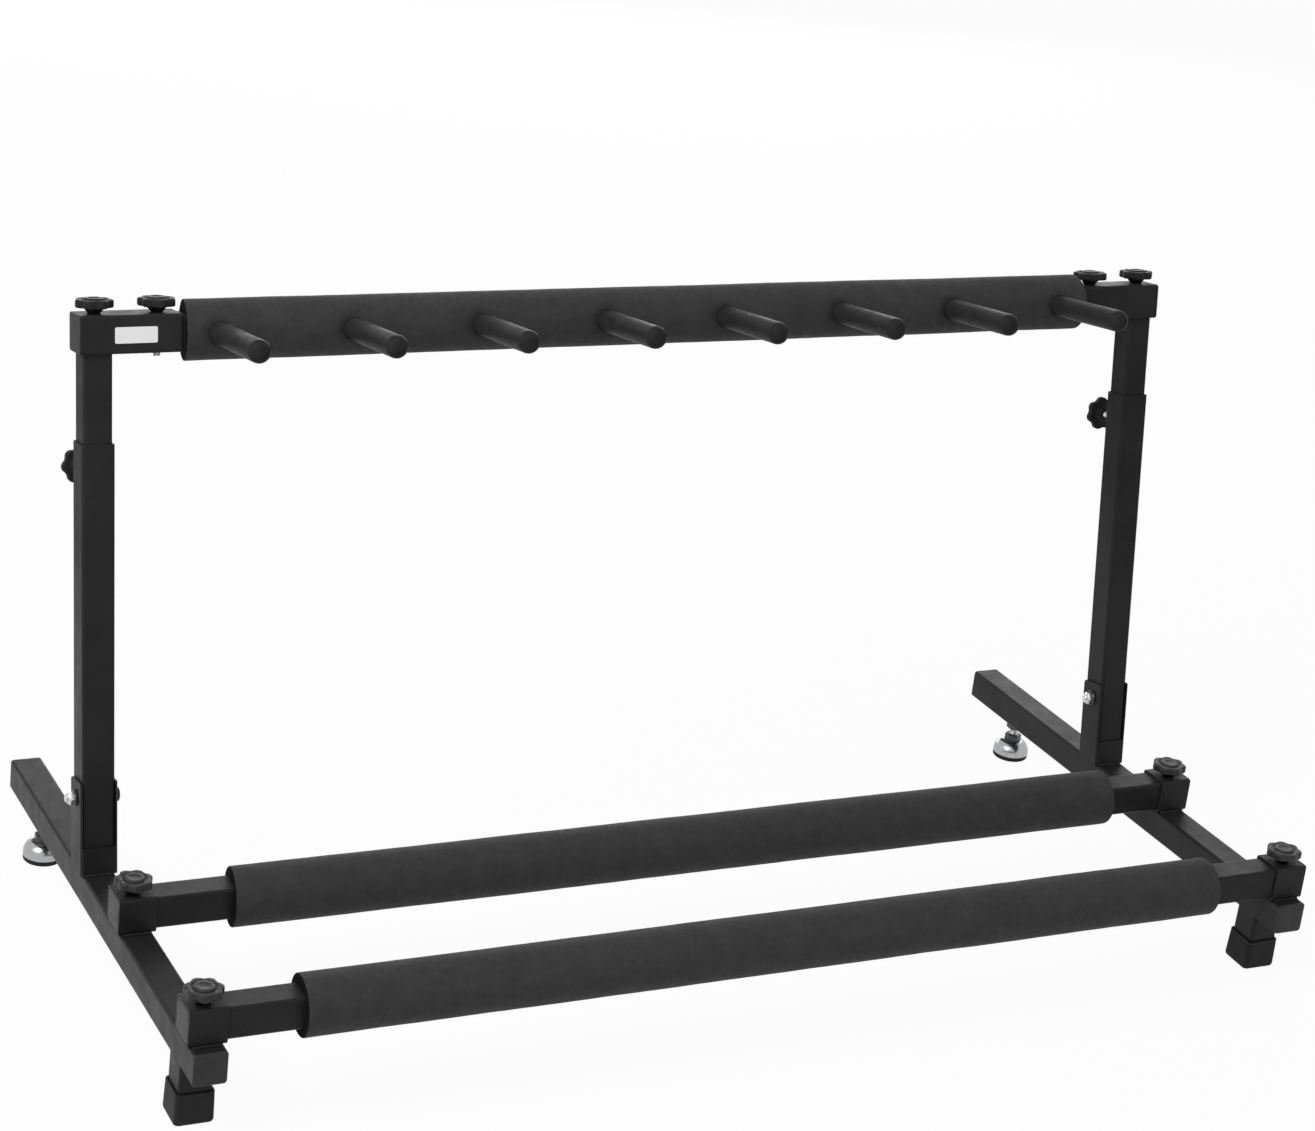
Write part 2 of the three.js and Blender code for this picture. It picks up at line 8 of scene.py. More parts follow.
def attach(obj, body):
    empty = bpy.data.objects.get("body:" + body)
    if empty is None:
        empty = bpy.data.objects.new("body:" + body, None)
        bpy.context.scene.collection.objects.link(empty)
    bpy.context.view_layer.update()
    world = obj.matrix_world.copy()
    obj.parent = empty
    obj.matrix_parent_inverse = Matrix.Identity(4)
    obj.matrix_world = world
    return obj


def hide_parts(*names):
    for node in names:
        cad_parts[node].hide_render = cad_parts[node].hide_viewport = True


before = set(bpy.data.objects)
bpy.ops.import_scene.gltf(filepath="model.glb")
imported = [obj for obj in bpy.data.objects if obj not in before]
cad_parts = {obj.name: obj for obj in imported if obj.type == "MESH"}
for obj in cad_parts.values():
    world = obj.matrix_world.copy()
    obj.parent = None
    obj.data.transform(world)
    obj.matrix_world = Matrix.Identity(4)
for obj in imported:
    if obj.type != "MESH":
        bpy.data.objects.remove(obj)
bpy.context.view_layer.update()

# Lengths are in millimetres, as on a drawing, and become metres when a mesh is made.
MM = 0.001

# Base
SIDE_X = 455.0  # centre line of each rail
RAIL_LENGTH = 480.0
RAIL_TILT = math.radians(1.6)
RAIL_FRONT_Z = 72.0
LEG_SETBACK = 38.5
LEG_BOTTOM = 4.3  # the tube's end inside the rubber cap
GLIDE_SETBACK = 420.0
BAR_SETBACKS = {"front": 23.5, "rear": 188.0}
HINGE_SETBACK = 284.5

# Stock
TUBE = 25.0
WALL = 1.2
CORNER = 2.5
SHEET = 1.5
GAP = 0.3
SEAM = 0.04  # joint between a tube and a plug pressed home
HALF = TUBE / 2
INSIDE = TUBE - 2 * WALL
BORE = TUBE + 2 * GAP
SLEEVE = BORE + 2 * SHEET
UPPER_TUBE = INSIDE - 2 * GAP
CUT_EDGE = 0.25  # broken edge of a sawn tube
# Radii of the weld beads
SHEET_WELD = 1.25
CHEEK_WELD = 1.1
LEG_WELD = 1.15
RAIL_FRONT_Y = (TUBE * math.sin(RAIL_TILT) - RAIL_LENGTH * math.cos(RAIL_TILT)) / 2
BAR_HEIGHT = GAP + SLEEVE / 2

# Uprights
LEAN = math.radians(10.7)
PIVOT_HEIGHT = 56.0
CHEEK_HEIGHT = 70.0
STOP_HEIGHT = 19.0
SHOULDER_HEIGHT = 326.0
LOCK_HEIGHT = 302.0
EXPOSED = 66.5
LOWERING = 40.0
SWING_CLEARANCE = 1.0
CHEEK_CORNER = 4.0
CORNER_HEIGHT = SHOULDER_HEIGHT + EXPOSED
TOP_BAR_HEIGHT = CORNER_HEIGHT + SLEEVE / 2
CORNER_TOP = CORNER_HEIGHT + SLEEVE

# Top bar, pegs and foam
KNOB_SPACING = 47.0
CORNER_REACH = 62.0
CORNER_END_X = SIDE_X - CORNER_REACH
PEG_COUNT = 8
PEG_PITCH = 104.5
PEG_REACH = 113.0
PEG_DIAMETER = 17.5
PEG_ROD = 8.0
PEG_TIP_WALL = 6.0
PEG_TIP_ROUNDING = 7.0
FOAM_RADIUS = 23.0
FOAM_EDGE = 0.9
BRACKET_FACE_X = SIDE_X - SLEEVE / 2
FOAM_SPANS = {
    "front": (56.0 - BRACKET_FACE_X, BRACKET_FACE_X - 60.0),
    "rear": (60.0 - BRACKET_FACE_X, BRACKET_FACE_X - 52.5),
    "top": (5.0 - CORNER_END_X, CORNER_END_X - 1.2),
}
# How far the left ends are cut out of square, front to middle, and the length over which that dies away
FOAM_SLANTS = {"front": 0.9, "rear": 2.6, "top": 3.7}
SLANT_LENGTH = 60.0

# Star knobs
KNOB_RADIUS = 14.25
KNOB_LOBES = 7
KNOB_LOBE_SHARE = 0.13
KNOB_SIDES = 140
# Where each knob has come to rest, in degrees round its own axis
KNOB_TURNS = {
    "front_bar_knob_left": 48.5,
    "rear_bar_knob_left": 58.5,
    "front_bar_knob_right": 64.5,
    "rear_bar_knob_right": 64.5,
    "height_lock_knob_left": 20.0,
    "height_lock_knob_right": 9.0,
    "corner_outer_knob_left": 31.0,
    "corner_inner_knob_left": 12.0,
    "corner_outer_knob_right": 40.0,
    "corner_inner_knob_right": 3.0,
}
STUD = 6.0
STUD_PITCH = 1.0
STUD_IN_NUT = 9.5
STUD_SHOWING = 4.0
STUD_HOLE = STUD + 2 * GAP
THREAD_DEPTH = 0.54  # as a share of the pitch
RINGS_PER_TURN = 8
LOCK_STANDOFF = 16.8

# Label
LABEL_WIDTH = 32.0
LABEL_HEIGHT = 12.0
LABEL_CORNER = 1.2
LABEL_THICKNESS = 0.18
LABEL_INSET = 27.5  # its middle from the upright's centre line
LABEL_RISE = 14.0  # its middle over the sleeve's underside

# Fasteners and feet
HEX_WIDTH = 10.0
WASHER_RADIUS = 6.5
WASHER_THICKNESS = 1.2
HEAD_HEIGHT = 4.0
LOCK_NUT_HEIGHT = 5.0
BOLT_END = 1.5
NUT_HEIGHT = 5.0
PLUG_FLANGE = 2.0
RAIL_PLUG_INSERT = 12.0
CORNER_PLUG_INSERT = 3.0
GLIDE_RADIUS = 16.0
GLIDE_SOLE = 4.0
GLIDE_SKIRT = 6.0
GLIDE_CROWN = 16.0
GLIDE_COLLAR_WIDTH = 13.0
GLIDE_COLLAR_HEIGHT = 6.0
GLIDE_STEM = 8.0
GLIDE_PITCH = 1.25
GLIDE_STEM_IN_RAIL = 14.0
GLIDE_NUT_WIDTH = 13.0
GLIDE_NUT_HEIGHT = 7.0

SIDES = {"left": -1, "right": 1}
ARC_STEPS = 6
ROUND_SIDES = 48
SMOOTH_ANGLE = math.radians(38)

ALONG_X = Matrix.Rotation(math.pi / 2, 4, "Y")
ALONG_Y = Matrix.Rotation(-math.pi / 2, 4, "X")


def at(x, y, z):
    return Matrix.Translation((x, y, z))


def rail_point(setback):
    return (
        RAIL_FRONT_Y + setback * math.cos(RAIL_TILT),
        RAIL_FRONT_Z - setback * math.sin(RAIL_TILT),
    )


def rail_frame(x=0.0):
    return at(x, RAIL_FRONT_Y, RAIL_FRONT_Z) @ Matrix.Rotation(-RAIL_TILT, 4, "X")


def upright_frame(x=0.0):
    y, z = rail_point(HINGE_SETBACK)
    return at(x, y, z) @ Matrix.Rotation(-LEAN, 4, "X")


def underside(y):
    """Height of the rails' undersides above the ground at a place from front to back."""
    return RAIL_FRONT_Z - (y - RAIL_FRONT_Y) * math.tan(RAIL_TILT) - TUBE / math.cos(RAIL_TILT)


# Materials


def new_material(name):
    material = bpy.data.materials.new(name)
    material.use_nodes = True
    tree = material.node_tree
    tree.nodes.clear()
    output = tree.nodes.new("ShaderNodeOutputMaterial")
    shader = tree.nodes.new("ShaderNodeBsdfPrincipled")
    tree.links.new(shader.outputs[0], output.inputs[0])
    place = tree.nodes.new("ShaderNodeTexCoord").outputs["Object"]
    return material, tree, shader, place


def noise_of(tree, place, scale, detail=3.0, roughness=0.5):
    node = tree.nodes.new("ShaderNodeTexNoise")
    node.inputs["Scale"].default_value = scale
    node.inputs["Detail"].default_value = detail
    node.inputs["Roughness"].default_value = roughness
    tree.links.new(place, node.inputs["Vector"])
    return node.outputs["Fac"]


def cells_of(tree, place, scale):
    node = tree.nodes.new("ShaderNodeTexVoronoi")
    node.feature = "F1"
    node.inputs["Scale"].default_value = scale
    tree.links.new(place, node.inputs["Vector"])
    return node.outputs["Distance"]


def axis_of(tree, vector, axis):
    node = tree.nodes.new("ShaderNodeSeparateXYZ")
    tree.links.new(vector, node.inputs[0])
    return node.outputs[axis]


def ramp(tree, value, low, high, colour_low, colour_high):
    """Spreads a value between two limits over two colours or numbers."""
    node = tree.nodes.new("ShaderNodeMapRange")
    for socket, number in zip(("From Min", "From Max"), (low, high)):
        node.inputs[socket].default_value = number
    tree.links.new(value, node.inputs["Value"])
    if not isinstance(colour_low, tuple):
        node.inputs["To Min"].default_value = colour_low
        node.inputs["To Max"].default_value = colour_high
        return node.outputs["Result"]
    mix = tree.nodes.new("ShaderNodeMix")
    mix.data_type = "RGBA"
    mix.inputs["A"].default_value = (*colour_low, 1)
    mix.inputs["B"].default_value = (*colour_high, 1)
    tree.links.new(node.outputs["Result"], mix.inputs["Factor"])
    return mix.outputs["Result"]


def mixed(tree, factor, a, b):
    """Blends from colour a to colour b, which may be sockets or plain colours."""
    mix = tree.nodes.new("ShaderNodeMix")
    mix.data_type = "RGBA"
    tree.links.new(factor, mix.inputs["Factor"])
    for socket, value in (("A", a), ("B", b)):
        if isinstance(value, tuple):
            mix.inputs[socket].default_value = (*value, 1)
        else:
            tree.links.new(value, mix.inputs[socket])
    return mix.outputs["Result"]


def bump(tree, height, distance, strength=1.0, under=None):
    node = tree.nodes.new("ShaderNodeBump")
    node.inputs["Distance"].default_value = distance
    node.inputs["Strength"].default_value = strength
    tree.links.new(height, node.inputs["Height"])
    if under is not None:
        tree.links.new(under, node.inputs["Normal"])
    return node.outputs["Normal"]


def powder_coat():
    """Matt black powder coat: fine orange peel, patchy gloss, a little dust, colour darker low down as
    painted shade, and gloss that dulls upward as a painted reflection of the floor's glow fading with height.
    """
    material, tree, shader, place = new_material("black_powder_coat")
    link = tree.links.new
    height = axis_of(tree, place, "Z")
    clouds = noise_of(tree, place, 22)
    # Painted shade: the colour is darker low down and lighter higher up, blended by height.
    lower = ramp(tree, clouds, 0.35, 0.65, (0.0125, 0.0125, 0.0132), (0.017, 0.017, 0.0178))
    upper = ramp(tree, clouds, 0.35, 0.65, (0.025, 0.025, 0.0257), (0.032, 0.032, 0.0328))
    patches_and_painted_shade = mixed(tree, ramp(tree, height, 0.12, 0.34, 0.0, 1.0), lower, upper)
    dust = ramp(tree, noise_of(tree, place, 900, 2), 0.66, 0.78, 0.0, 0.35)
    link(mixed(tree, dust, patches_and_painted_shade, (0.07, 0.07, 0.07)), shader.inputs["Base Color"])
    link(ramp(tree, noise_of(tree, place, 60), 0.3, 0.7, 0.38, 0.5), shader.inputs["Roughness"])
    # Painted reflection: the gloss fades with height, standing in for the floor's glow reflected less higher
    # up.
    link(ramp(tree, height, 0.15, 0.32, 0.14, 0.025), shader.inputs["Specular IOR Level"])
    peel = bump(tree, noise_of(tree, place, 700, 2, 0.4), 0.00012, 0.55)
    link(bump(tree, noise_of(tree, place, 2600, 1), 0.00003, 0.4, peel), shader.inputs["Normal"])
    return material


def foam_rubber():
    """Closed-cell foam: soft mottling, fine open pores with painted shade in their pits, a dull skin, and cut
    ends painted near black and dull as shade.
    """
    material, tree, shader, place = new_material("foam_rubber")
    link = tree.links.new
    clouds = noise_of(tree, place, 55, 4)
    mottle = ramp(tree, clouds, 0.3, 0.7, (0.030, 0.030, 0.0305), (0.040, 0.040, 0.0405))
    # Painted shade: the pits of the pores are coloured darker.
    pore_shade = ramp(tree, cells_of(tree, place, 1100), 0.05, 0.28, 0.55, 0.0)
    skin_colour = mixed(tree, pore_shade, mottle, (0.016, 0.016, 0.0165))
    # Painted shade: faces that point along the roll, its cut ends, get a near-black colour and almost no
    # gloss.
    facing = tree.nodes.new("ShaderNodeTexCoord").outputs["Normal"]
    endwise = tree.nodes.new("ShaderNodeMath")
    endwise.operation = "ABSOLUTE"
    link(axis_of(tree, facing, "X"), endwise.inputs[0])
    painted_end_shade = ramp(tree, endwise.outputs[0], 0.75, 0.9, 0.0, 1.0)
    link(mixed(tree, painted_end_shade, skin_colour, (0.011, 0.011, 0.0113)), shader.inputs["Base Color"])
    link(ramp(tree, noise_of(tree, place, 240, 3), 0.3, 0.7, 0.74, 0.9), shader.inputs["Roughness"])
    link(ramp(tree, painted_end_shade, 0.0, 1.0, 0.3, 0.01), shader.inputs["Specular IOR Level"])
    cells = bump(tree, cells_of(tree, place, 1100), 0.00016, 0.7)
    link(bump(tree, noise_of(tree, place, 300, 4), 0.00025, 0.5, cells), shader.inputs["Normal"])
    return material


def soft_rubber(name, low, high, roughness, specular):
    """Moulded rubber with a satin skin and slight cloudy marks."""
    material, tree, shader, place = new_material(name)
    link = tree.links.new
    link(ramp(tree, noise_of(tree, place, 90, 4), 0.3, 0.7, low, high), shader.inputs["Base Color"])
    link(
        ramp(tree, noise_of(tree, place, 140, 5), 0.25, 0.75, roughness, roughness + 0.14),
        shader.inputs["Roughness"],
    )
    shader.inputs["Specular IOR Level"].default_value = specular
    link(bump(tree, noise_of(tree, place, 1500, 3), 0.00005, 0.5), shader.inputs["Normal"])
    return material


def grained_plastic():
    """Black moulding with a fine spark-eroded grain, shinier low down as a painted reflection of the floor's
    glow fading with height.
    """
    material, tree, shader, place = new_material("grained_plastic")
    link = tree.links.new
    link(
        ramp(tree, noise_of(tree, place, 70), 0.3, 0.7, (0.018, 0.018, 0.0185), (0.026, 0.026, 0.0265)),
        shader.inputs["Base Color"],
    )
    link(ramp(tree, noise_of(tree, place, 400, 3), 0.3, 0.7, 0.4, 0.54), shader.inputs["Roughness"])
    height = axis_of(tree, place, "Z")
    # Painted reflection: more gloss low down, less higher up, standing in for the floor's glow reflected less
    # with height.
    link(ramp(tree, height, 0.12, 0.34, 0.27, 0.07), shader.inputs["Specular IOR Level"])
    grain = bump(tree, cells_of(tree, place, 1500), 0.00006, 0.5)
    link(bump(tree, noise_of(tree, place, 2800, 2), 0.00003, 0.6, grain), shader.inputs["Normal"])
    return material


def zinc(name, low, high, roughness, metallic=1.0):
    """Plated steel with faint clouding and fine scratches."""
    material, tree, shader, place = new_material(name)
    link = tree.links.new
    link(ramp(tree, noise_of(tree, place, 260, 4), 0.3, 0.7, low, high), shader.inputs["Base Color"])
    shader.inputs["Metallic"].default_value = metallic
    stretch = tree.nodes.new("ShaderNodeMapping")
    stretch.inputs["Scale"].default_value = (1.0, 1.0, 9.0)
    link(place, stretch.inputs["Vector"])
    scratches = noise_of(tree, stretch.outputs["Vector"], 700, 4)
    link(ramp(tree, scratches, 0.3, 0.7, roughness, roughness + 0.16), shader.inputs["Roughness"])
    link(bump(tree, scratches, 0.00002, 0.4), shader.inputs["Normal"])
    return material


def bare_label():
    """Blank satin label."""
    material, tree, shader, place = new_material("blank_label")
    link = tree.links.new
    link(
        ramp(tree, noise_of(tree, place, 500, 4), 0.3, 0.7, (0.95, 0.95, 0.955), (0.97, 0.97, 0.975)),
        shader.inputs["Base Color"],
    )
    link(ramp(tree, noise_of(tree, place, 900), 0.3, 0.7, 0.42, 0.52), shader.inputs["Roughness"])
    link(bump(tree, noise_of(tree, place, 1200, 3), 0.00002, 0.4), shader.inputs["Normal"])
    return material


PEG_RUBBER = soft_rubber("peg_rubber", (0.022, 0.022, 0.0225), (0.03, 0.03, 0.0305), 0.34, 0.028)
CAP_RUBBER = soft_rubber("cap_rubber", (0.015, 0.015, 0.0155), (0.022, 0.022, 0.0225), 0.5, 0.12)

BRIGHT_ZINC = zinc("bright_zinc_plate", (0.60, 0.61, 0.63), (0.68, 0.69, 0.71), 0.2)
DULL_CHROME = zinc("dull_chrome", (0.36, 0.365, 0.375), (0.44, 0.445, 0.455), 0.16)
BLACK_NUT = zinc("blackened_steel", (0.05, 0.05, 0.052), (0.09, 0.09, 0.093), 0.32, 0.9)

# Each look is a material and the record's slot that it stands for.
LOOKS = {
    "steel": (powder_coat(), "black_steel"),
    "foam": (foam_rubber(), "foam"),
    "peg": (PEG_RUBBER, "black_rubber"),
    "cap": (CAP_RUBBER, "black_rubber"),
    "plastic": (grained_plastic(), "black_plastic"),
    "zinc": (BRIGHT_ZINC, "bright_zinc"),
    "chrome": (DULL_CHROME, "bright_zinc"),
    "black_nut": (BLACK_NUT, "black_steel"),
    "label": (bare_label(), None),
}


# Mesh building


def rounded_square(size, radius=CORNER):
    """Outline of a square with rounded corners, anticlockwise from its right side."""
    flat = size / 2 - radius
    points = []
    for corner in range(4):
        start = corner * math.pi / 2
        x = flat * math.sqrt(2) * math.cos(start + math.pi / 4)
        y = flat * math.sqrt(2) * math.sin(start + math.pi / 4)
        for step in range(ARC_STEPS + 1):
            angle = start + step * math.pi / 2 / ARC_STEPS
            points.append((x + radius * math.cos(angle), y + radius * math.sin(angle)))
    return points


def level(outline, z):
    return [(x, y, z) for x, y in outline]


def circle(radius, z, sides):
    return [
        (radius * math.cos(2 * math.pi * i / sides), radius * math.sin(2 * math.pi * i / sides), z)
        for i in range(sides)
    ]


def skin(rings, joined=False):
    """Faces through rings of equal counts, closed over the first and last ring or joined into a loop."""
    count = len(rings[0])
    points = [point for ring in rings for point in ring]
    faces = []
    for ring in range(len(rings) if joined else len(rings) - 1):
        a, b = ring * count, (ring + 1) % len(rings) * count
        for i in range(count):
            j = (i + 1) % count
            faces.append((a + i, a + j, b + j, b + i))
    if not joined:
        top = (len(rings) - 1) * count
        faces.append(tuple(reversed(range(count))))
        faces.append(tuple(range(top, top + count)))
    return points, faces


def turned(profile, sides=ROUND_SIDES, joined=False):
    """A turned shape along Z from pairs of radius and height."""
    return skin([circle(max(radius, 1e-5), z, sides) for radius, z in profile], joined)


def stack(levels):
    """A stack of rounded squares from pairs of size and height."""
    return skin([level(rounded_square(size), z) for size, z in levels])


def square_tube(size, wall, length, slope=0.0):
    """Open square tube along Z from zero, its sawn edges broken. Its upper end drops along Y by slope."""

    def ring(side, corner, z, fall=0.0):
        return [(x, y, z - y * fall) for x, y in rounded_square(side, corner)]

    inner = size - 2 * wall
    tight = max(CORNER - wall, 0.4)
    rings = [
        ring(size - 2 * CUT_EDGE, CORNER - CUT_EDGE, 0.0),
        ring(size, CORNER, CUT_EDGE),
        ring(size, CORNER, length - CUT_EDGE, slope),
        ring(size - 2 * CUT_EDGE, CORNER - CUT_EDGE, length, slope),
        ring(inner, tight, length, slope),
        ring(inner, tight, 0.0),
    ]
    return skin(rings, joined=True)


def hexagon_ring(width, cap, z):
    """Ring of a hexagon across its flats, cut down to a circle where its corners are chamfered."""
    ring = []
    for i in range(ROUND_SIDES):
        angle = 2 * math.pi * i / ROUND_SIDES
        turn = (angle + math.pi / 6) % (math.pi / 3) - math.pi / 6
        reach = min(width / 2 / math.cos(turn), cap)
        ring.append((reach * math.cos(angle), reach * math.sin(angle), z))
    return ring


def hexagon(width, height, chamfer=0.9, both=False, dome=0.0):
    corner = width / math.sqrt(3)
    rings = [hexagon_ring(width, corner - chamfer if both else corner + 1, 0)]
    if both:
        rings.append(hexagon_ring(width, corner + 1, chamfer * 0.6))
    rings.append(hexagon_ring(width, corner + 1, height - chamfer * 0.75))
    rings.append(hexagon_ring(width, corner - chamfer * 0.6, height - chamfer * 0.3))
    rings.append(hexagon_ring(width, width / 2 - 0.15, height))
    rings.append(hexagon_ring(width, width / 4, height + dome))
    return skin(rings)


def threaded(diameter, pitch, start, end, sides=24):
    """Screw thread along Z between two heights, its ends chamfered."""
    depth = THREAD_DEPTH * pitch
    radius = diameter / 2
    count = max(2, round((end - start) / pitch * RINGS_PER_TURN))
    rings = []
    for i in range(count + 1):
        z = start + (end - start) * i / count
        cap = radius - depth + min(z - start, end - z) + 0.15
        ring = []
        for k in range(sides):
            angle = 2 * math.pi * k / sides
            phase = (z / pitch - k / sides) % 1.0
            groove = depth * min(1.0, 1.25 * abs(2 * phase - 1))
            reach = min(radius - groove, cap)
            ring.append((reach * math.cos(angle), reach * math.sin(angle), z))
        rings.append(ring)
    return skin(rings)


def washer(inner, outer, thickness):
    edge = 0.22
    profile = [
        (inner, 0.0),
        (outer - edge, 0.0),
        (outer, edge),
        (outer, thickness - edge),
        (outer - edge, thickness),
        (inner, thickness),
    ]
    return turned(profile, joined=True)


def merged(*shapes):
    """Several shapes as one list of points and faces."""
    points, faces = [], []
    for shape_points, shape_faces in shapes:
        base = len(points)
        points += shape_points
        faces += [tuple(base + i for i in face) for face in shape_faces]
    return points, faces


def moved(shape, place):
    points, faces = shape
    return [tuple(place @ Vector(point)) for point in points], faces


def solid(name, shape, place=Matrix.Identity(4)):
    """A mesh object, in metres in the stand's frame, from points in millimetres in a local one."""
    points, faces = shape
    mesh = bpy.data.meshes.new(name)
    mesh.from_pydata(points, [], faces)
    mesh.transform(Matrix.Scale(MM, 4) @ place)
    tidy = bmesh.new()
    tidy.from_mesh(mesh)
    bmesh.ops.remove_doubles(tidy, verts=tidy.verts, dist=1e-7)
    bmesh.ops.recalc_face_normals(tidy, faces=tidy.faces)
    tidy.to_mesh(mesh)
    tidy.free()
    made = bpy.data.objects.new(name, mesh)
    bpy.context.scene.collection.objects.link(made)
    return made


def apply_modifiers(made):
    bpy.context.view_layer.update()
    finished = made.evaluated_get(bpy.context.evaluated_depsgraph_get())
    mesh = bpy.data.meshes.new_from_object(finished)
    made.modifiers.clear()
    made.data = mesh
    mesh.name = made.name
    return made


def combine(target, operation, *tools):
    """Joins, cuts or intersects a solid with others, which are used up."""
    for tool in tools:
        modifier = target.modifiers.new("combine", "BOOLEAN")
        modifier.operation = operation
        modifier.solver = "EXACT"
        modifier.object = tool
        apply_modifiers(target)
        bpy.data.objects.remove(tool)
    return target


def mend(made):
    """Welds the tiny slivers that cutting leaves and closes the slits between them."""
    mesh = bmesh.new()
    mesh.from_mesh(made.data)
    bmesh.ops.triangulate(mesh, faces=[face for face in mesh.faces if len(face.verts) > 4])
    bmesh.ops.remove_doubles(mesh, verts=mesh.verts, dist=3e-6)
    bmesh.ops.dissolve_degenerate(mesh, dist=2e-6, edges=mesh.edges)
    bmesh.ops.holes_fill(mesh, edges=[edge for edge in mesh.edges if edge.is_boundary], sides=12)
    bmesh.ops.recalc_face_normals(mesh, faces=mesh.faces)
    mesh.to_mesh(made.data)
    mesh.free()
    return made


def drill(target, place, diameter, depth):
    """A round hole along a place's Z axis, centred on it."""
    tool = solid("drill", turned([(diameter / 2, -depth / 2), (diameter / 2, depth / 2)], 40), place)
    return combine(target, "DIFFERENCE", tool)


def soften(made, width, segments=2, angle=50):
    modifier = made.modifiers.new("soften", "BEVEL")
    modifier.width = width * MM
    modifier.segments = segments
    modifier.limit_method = "ANGLE"
    modifier.angle_limit = math.radians(angle)
    return apply_modifiers(made)


def settle(made, look, body, *nodes, smooth=SMOOTH_ANGLE, weighted=True):
    """Gives a finished piece its material, its shading and the body that it moves with."""
    material, slot = LOOKS[look]
    made.data.materials.clear()
    made.data.materials.append(material)
    made.data.shade_smooth()
    made.data.set_sharp_from_angle(angle=smooth)
    if weighted:
        even = made.modifiers.new("even_shading", "WEIGHTED_NORMAL")
        even.keep_sharp = True
        apply_modifiers(made)
    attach(made, body)
    if nodes:
        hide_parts(*nodes)
    return made


def part(name, shape, place, look, body, *nodes, **shading):
    return settle(solid(name, shape, place), look, body, *nodes, **shading)


def weld_bead(name, start, end, radius, place, body, seed):
    """Lumpy weld along a line, tapering at both ends."""
    start, end = Vector(start), Vector(end)
    along = (end - start).normalized()
    aside = along.orthogonal().normalized()
    above = along.cross(aside)
    length = (end - start).length
    steps = max(8, round(length / 0.45))
    rings = []
    for i in range(steps + 1):
        s = length * i / steps
        taper = min(1.0, 0.35 + min(s, length - s) / 1.6)
        ripple = 0.86 + 0.16 * abs(math.sin(math.pi * s / 1.9 + seed))
        wander = 0.12 * noise.noise(Vector((s * 0.35, seed * 3.1, 0.0)))
        reach = radius * taper * (ripple + wander)
        centre = start + along * s
        rings.append(
            [
                tuple(centre + aside * (reach * math.cos(a)) + above * (reach * math.sin(a)))
                for a in (2 * math.pi * k / 10 for k in range(10))
            ]
        )
    return part(name, skin(rings), place, "steel", body)


# Pieces of the base


def end_plug(size, insert):
    """Push-in plug: a slightly domed flange above zero and a ribbed insert below."""
    core = INSIDE - 1.2
    levels = [(core - 3.0, -insert)]
    ribs = 3
    for i in range(ribs):
        low = -insert + insert * (i + 0.35) / (ribs + 0.6)
        levels += [(core - 1.2, low), (core + 0.5, low + 0.9)]
        levels += [(core + 0.4, low + 1.3), (core - 1.4, low + 1.5)]
    levels += [(core - 1.4, 0.0), (size, 0.0)]
    levels += [(size, PLUG_FLANGE - 0.8), (size - 0.25, PLUG_FLANGE - 0.4), (size - 0.8, PLUG_FLANGE - 0.12)]
    levels += [(size - 1.8, PLUG_FLANGE), (size - 8.0, PLUG_FLANGE + 0.14), (size - 16.0, PLUG_FLANGE + 0.2)]
    return stack(levels)


def make_rail(name, side):
    x = side * SIDE_X
    place = rail_frame(x)
    length = RAIL_LENGTH - 2 * (PLUG_FLANGE + SEAM)
    start = PLUG_FLANGE + SEAM
    rail = solid(
        f"rail_tube_{name}", square_tube(TUBE, WALL, length), place @ at(0, start, -HALF) @ ALONG_Y
    )
    stem = place @ at(0, GLIDE_SETBACK, -TUBE) @ Matrix.Rotation(RAIL_TILT, 4, "X")
    drill(rail, stem, GLIDE_STEM + 2 * GAP, 12)
    settle(rail, "steel", "base", f"base_rail_{name}")
    nut = solid(
        f"glide_weld_nut_{name}",
        moved(hexagon(GLIDE_NUT_WIDTH, GLIDE_NUT_HEIGHT, 0.9), Matrix.Rotation(math.pi, 4, "X")),
        stem,
    )
    drill(nut, stem, GLIDE_STEM + 2 * GAP, 40)
    settle(nut, "black_nut", "base")
    part(
        f"rail_front_end_{name}",
        end_plug(TUBE, RAIL_PLUG_INSERT),
        place @ at(0, PLUG_FLANGE, -HALF) @ Matrix.Rotation(math.pi / 2, 4, "X"),
        "plastic",
        "base",
        f"rail_front_plug_{name}",
    )
    part(
        f"rail_rear_end_{name}",
        end_plug(TUBE, RAIL_PLUG_INSERT),
        place @ at(0, RAIL_LENGTH - PLUG_FLANGE, -HALF) @ ALONG_Y,
        "plastic",
        "base",
        f"rail_rear_plug_{name}",
    )


def make_bracket(name, place_name, setback, side):
    place = rail_frame(side * SIDE_X) @ at(0, setback, BAR_HEIGHT)
    bracket = solid(
        f"{place_name}_socket_{name}",
        square_tube(SLEEVE, SHEET, SLEEVE),
        place @ ALONG_X @ at(0, 0, -SLEEVE / 2),
    )
    drill(bracket, place @ at(0, 0, SLEEVE / 2), STUD_HOLE, 8)
    settle(bracket, "steel", "base", f"{place_name}_bracket_{name}")
    for i, way in enumerate((-1, 1)):
        y = setback + way * (SLEEVE / 2 - 0.2)
        weld_bead(
            f"{place_name}_bracket_weld_{name}_{i + 1}",
            (-11.2, y, 0.35),
            (11.2, y, 0.35),
            SHEET_WELD,
            rail_frame(side * SIDE_X),
            "base",
            setback + way + side,
        )


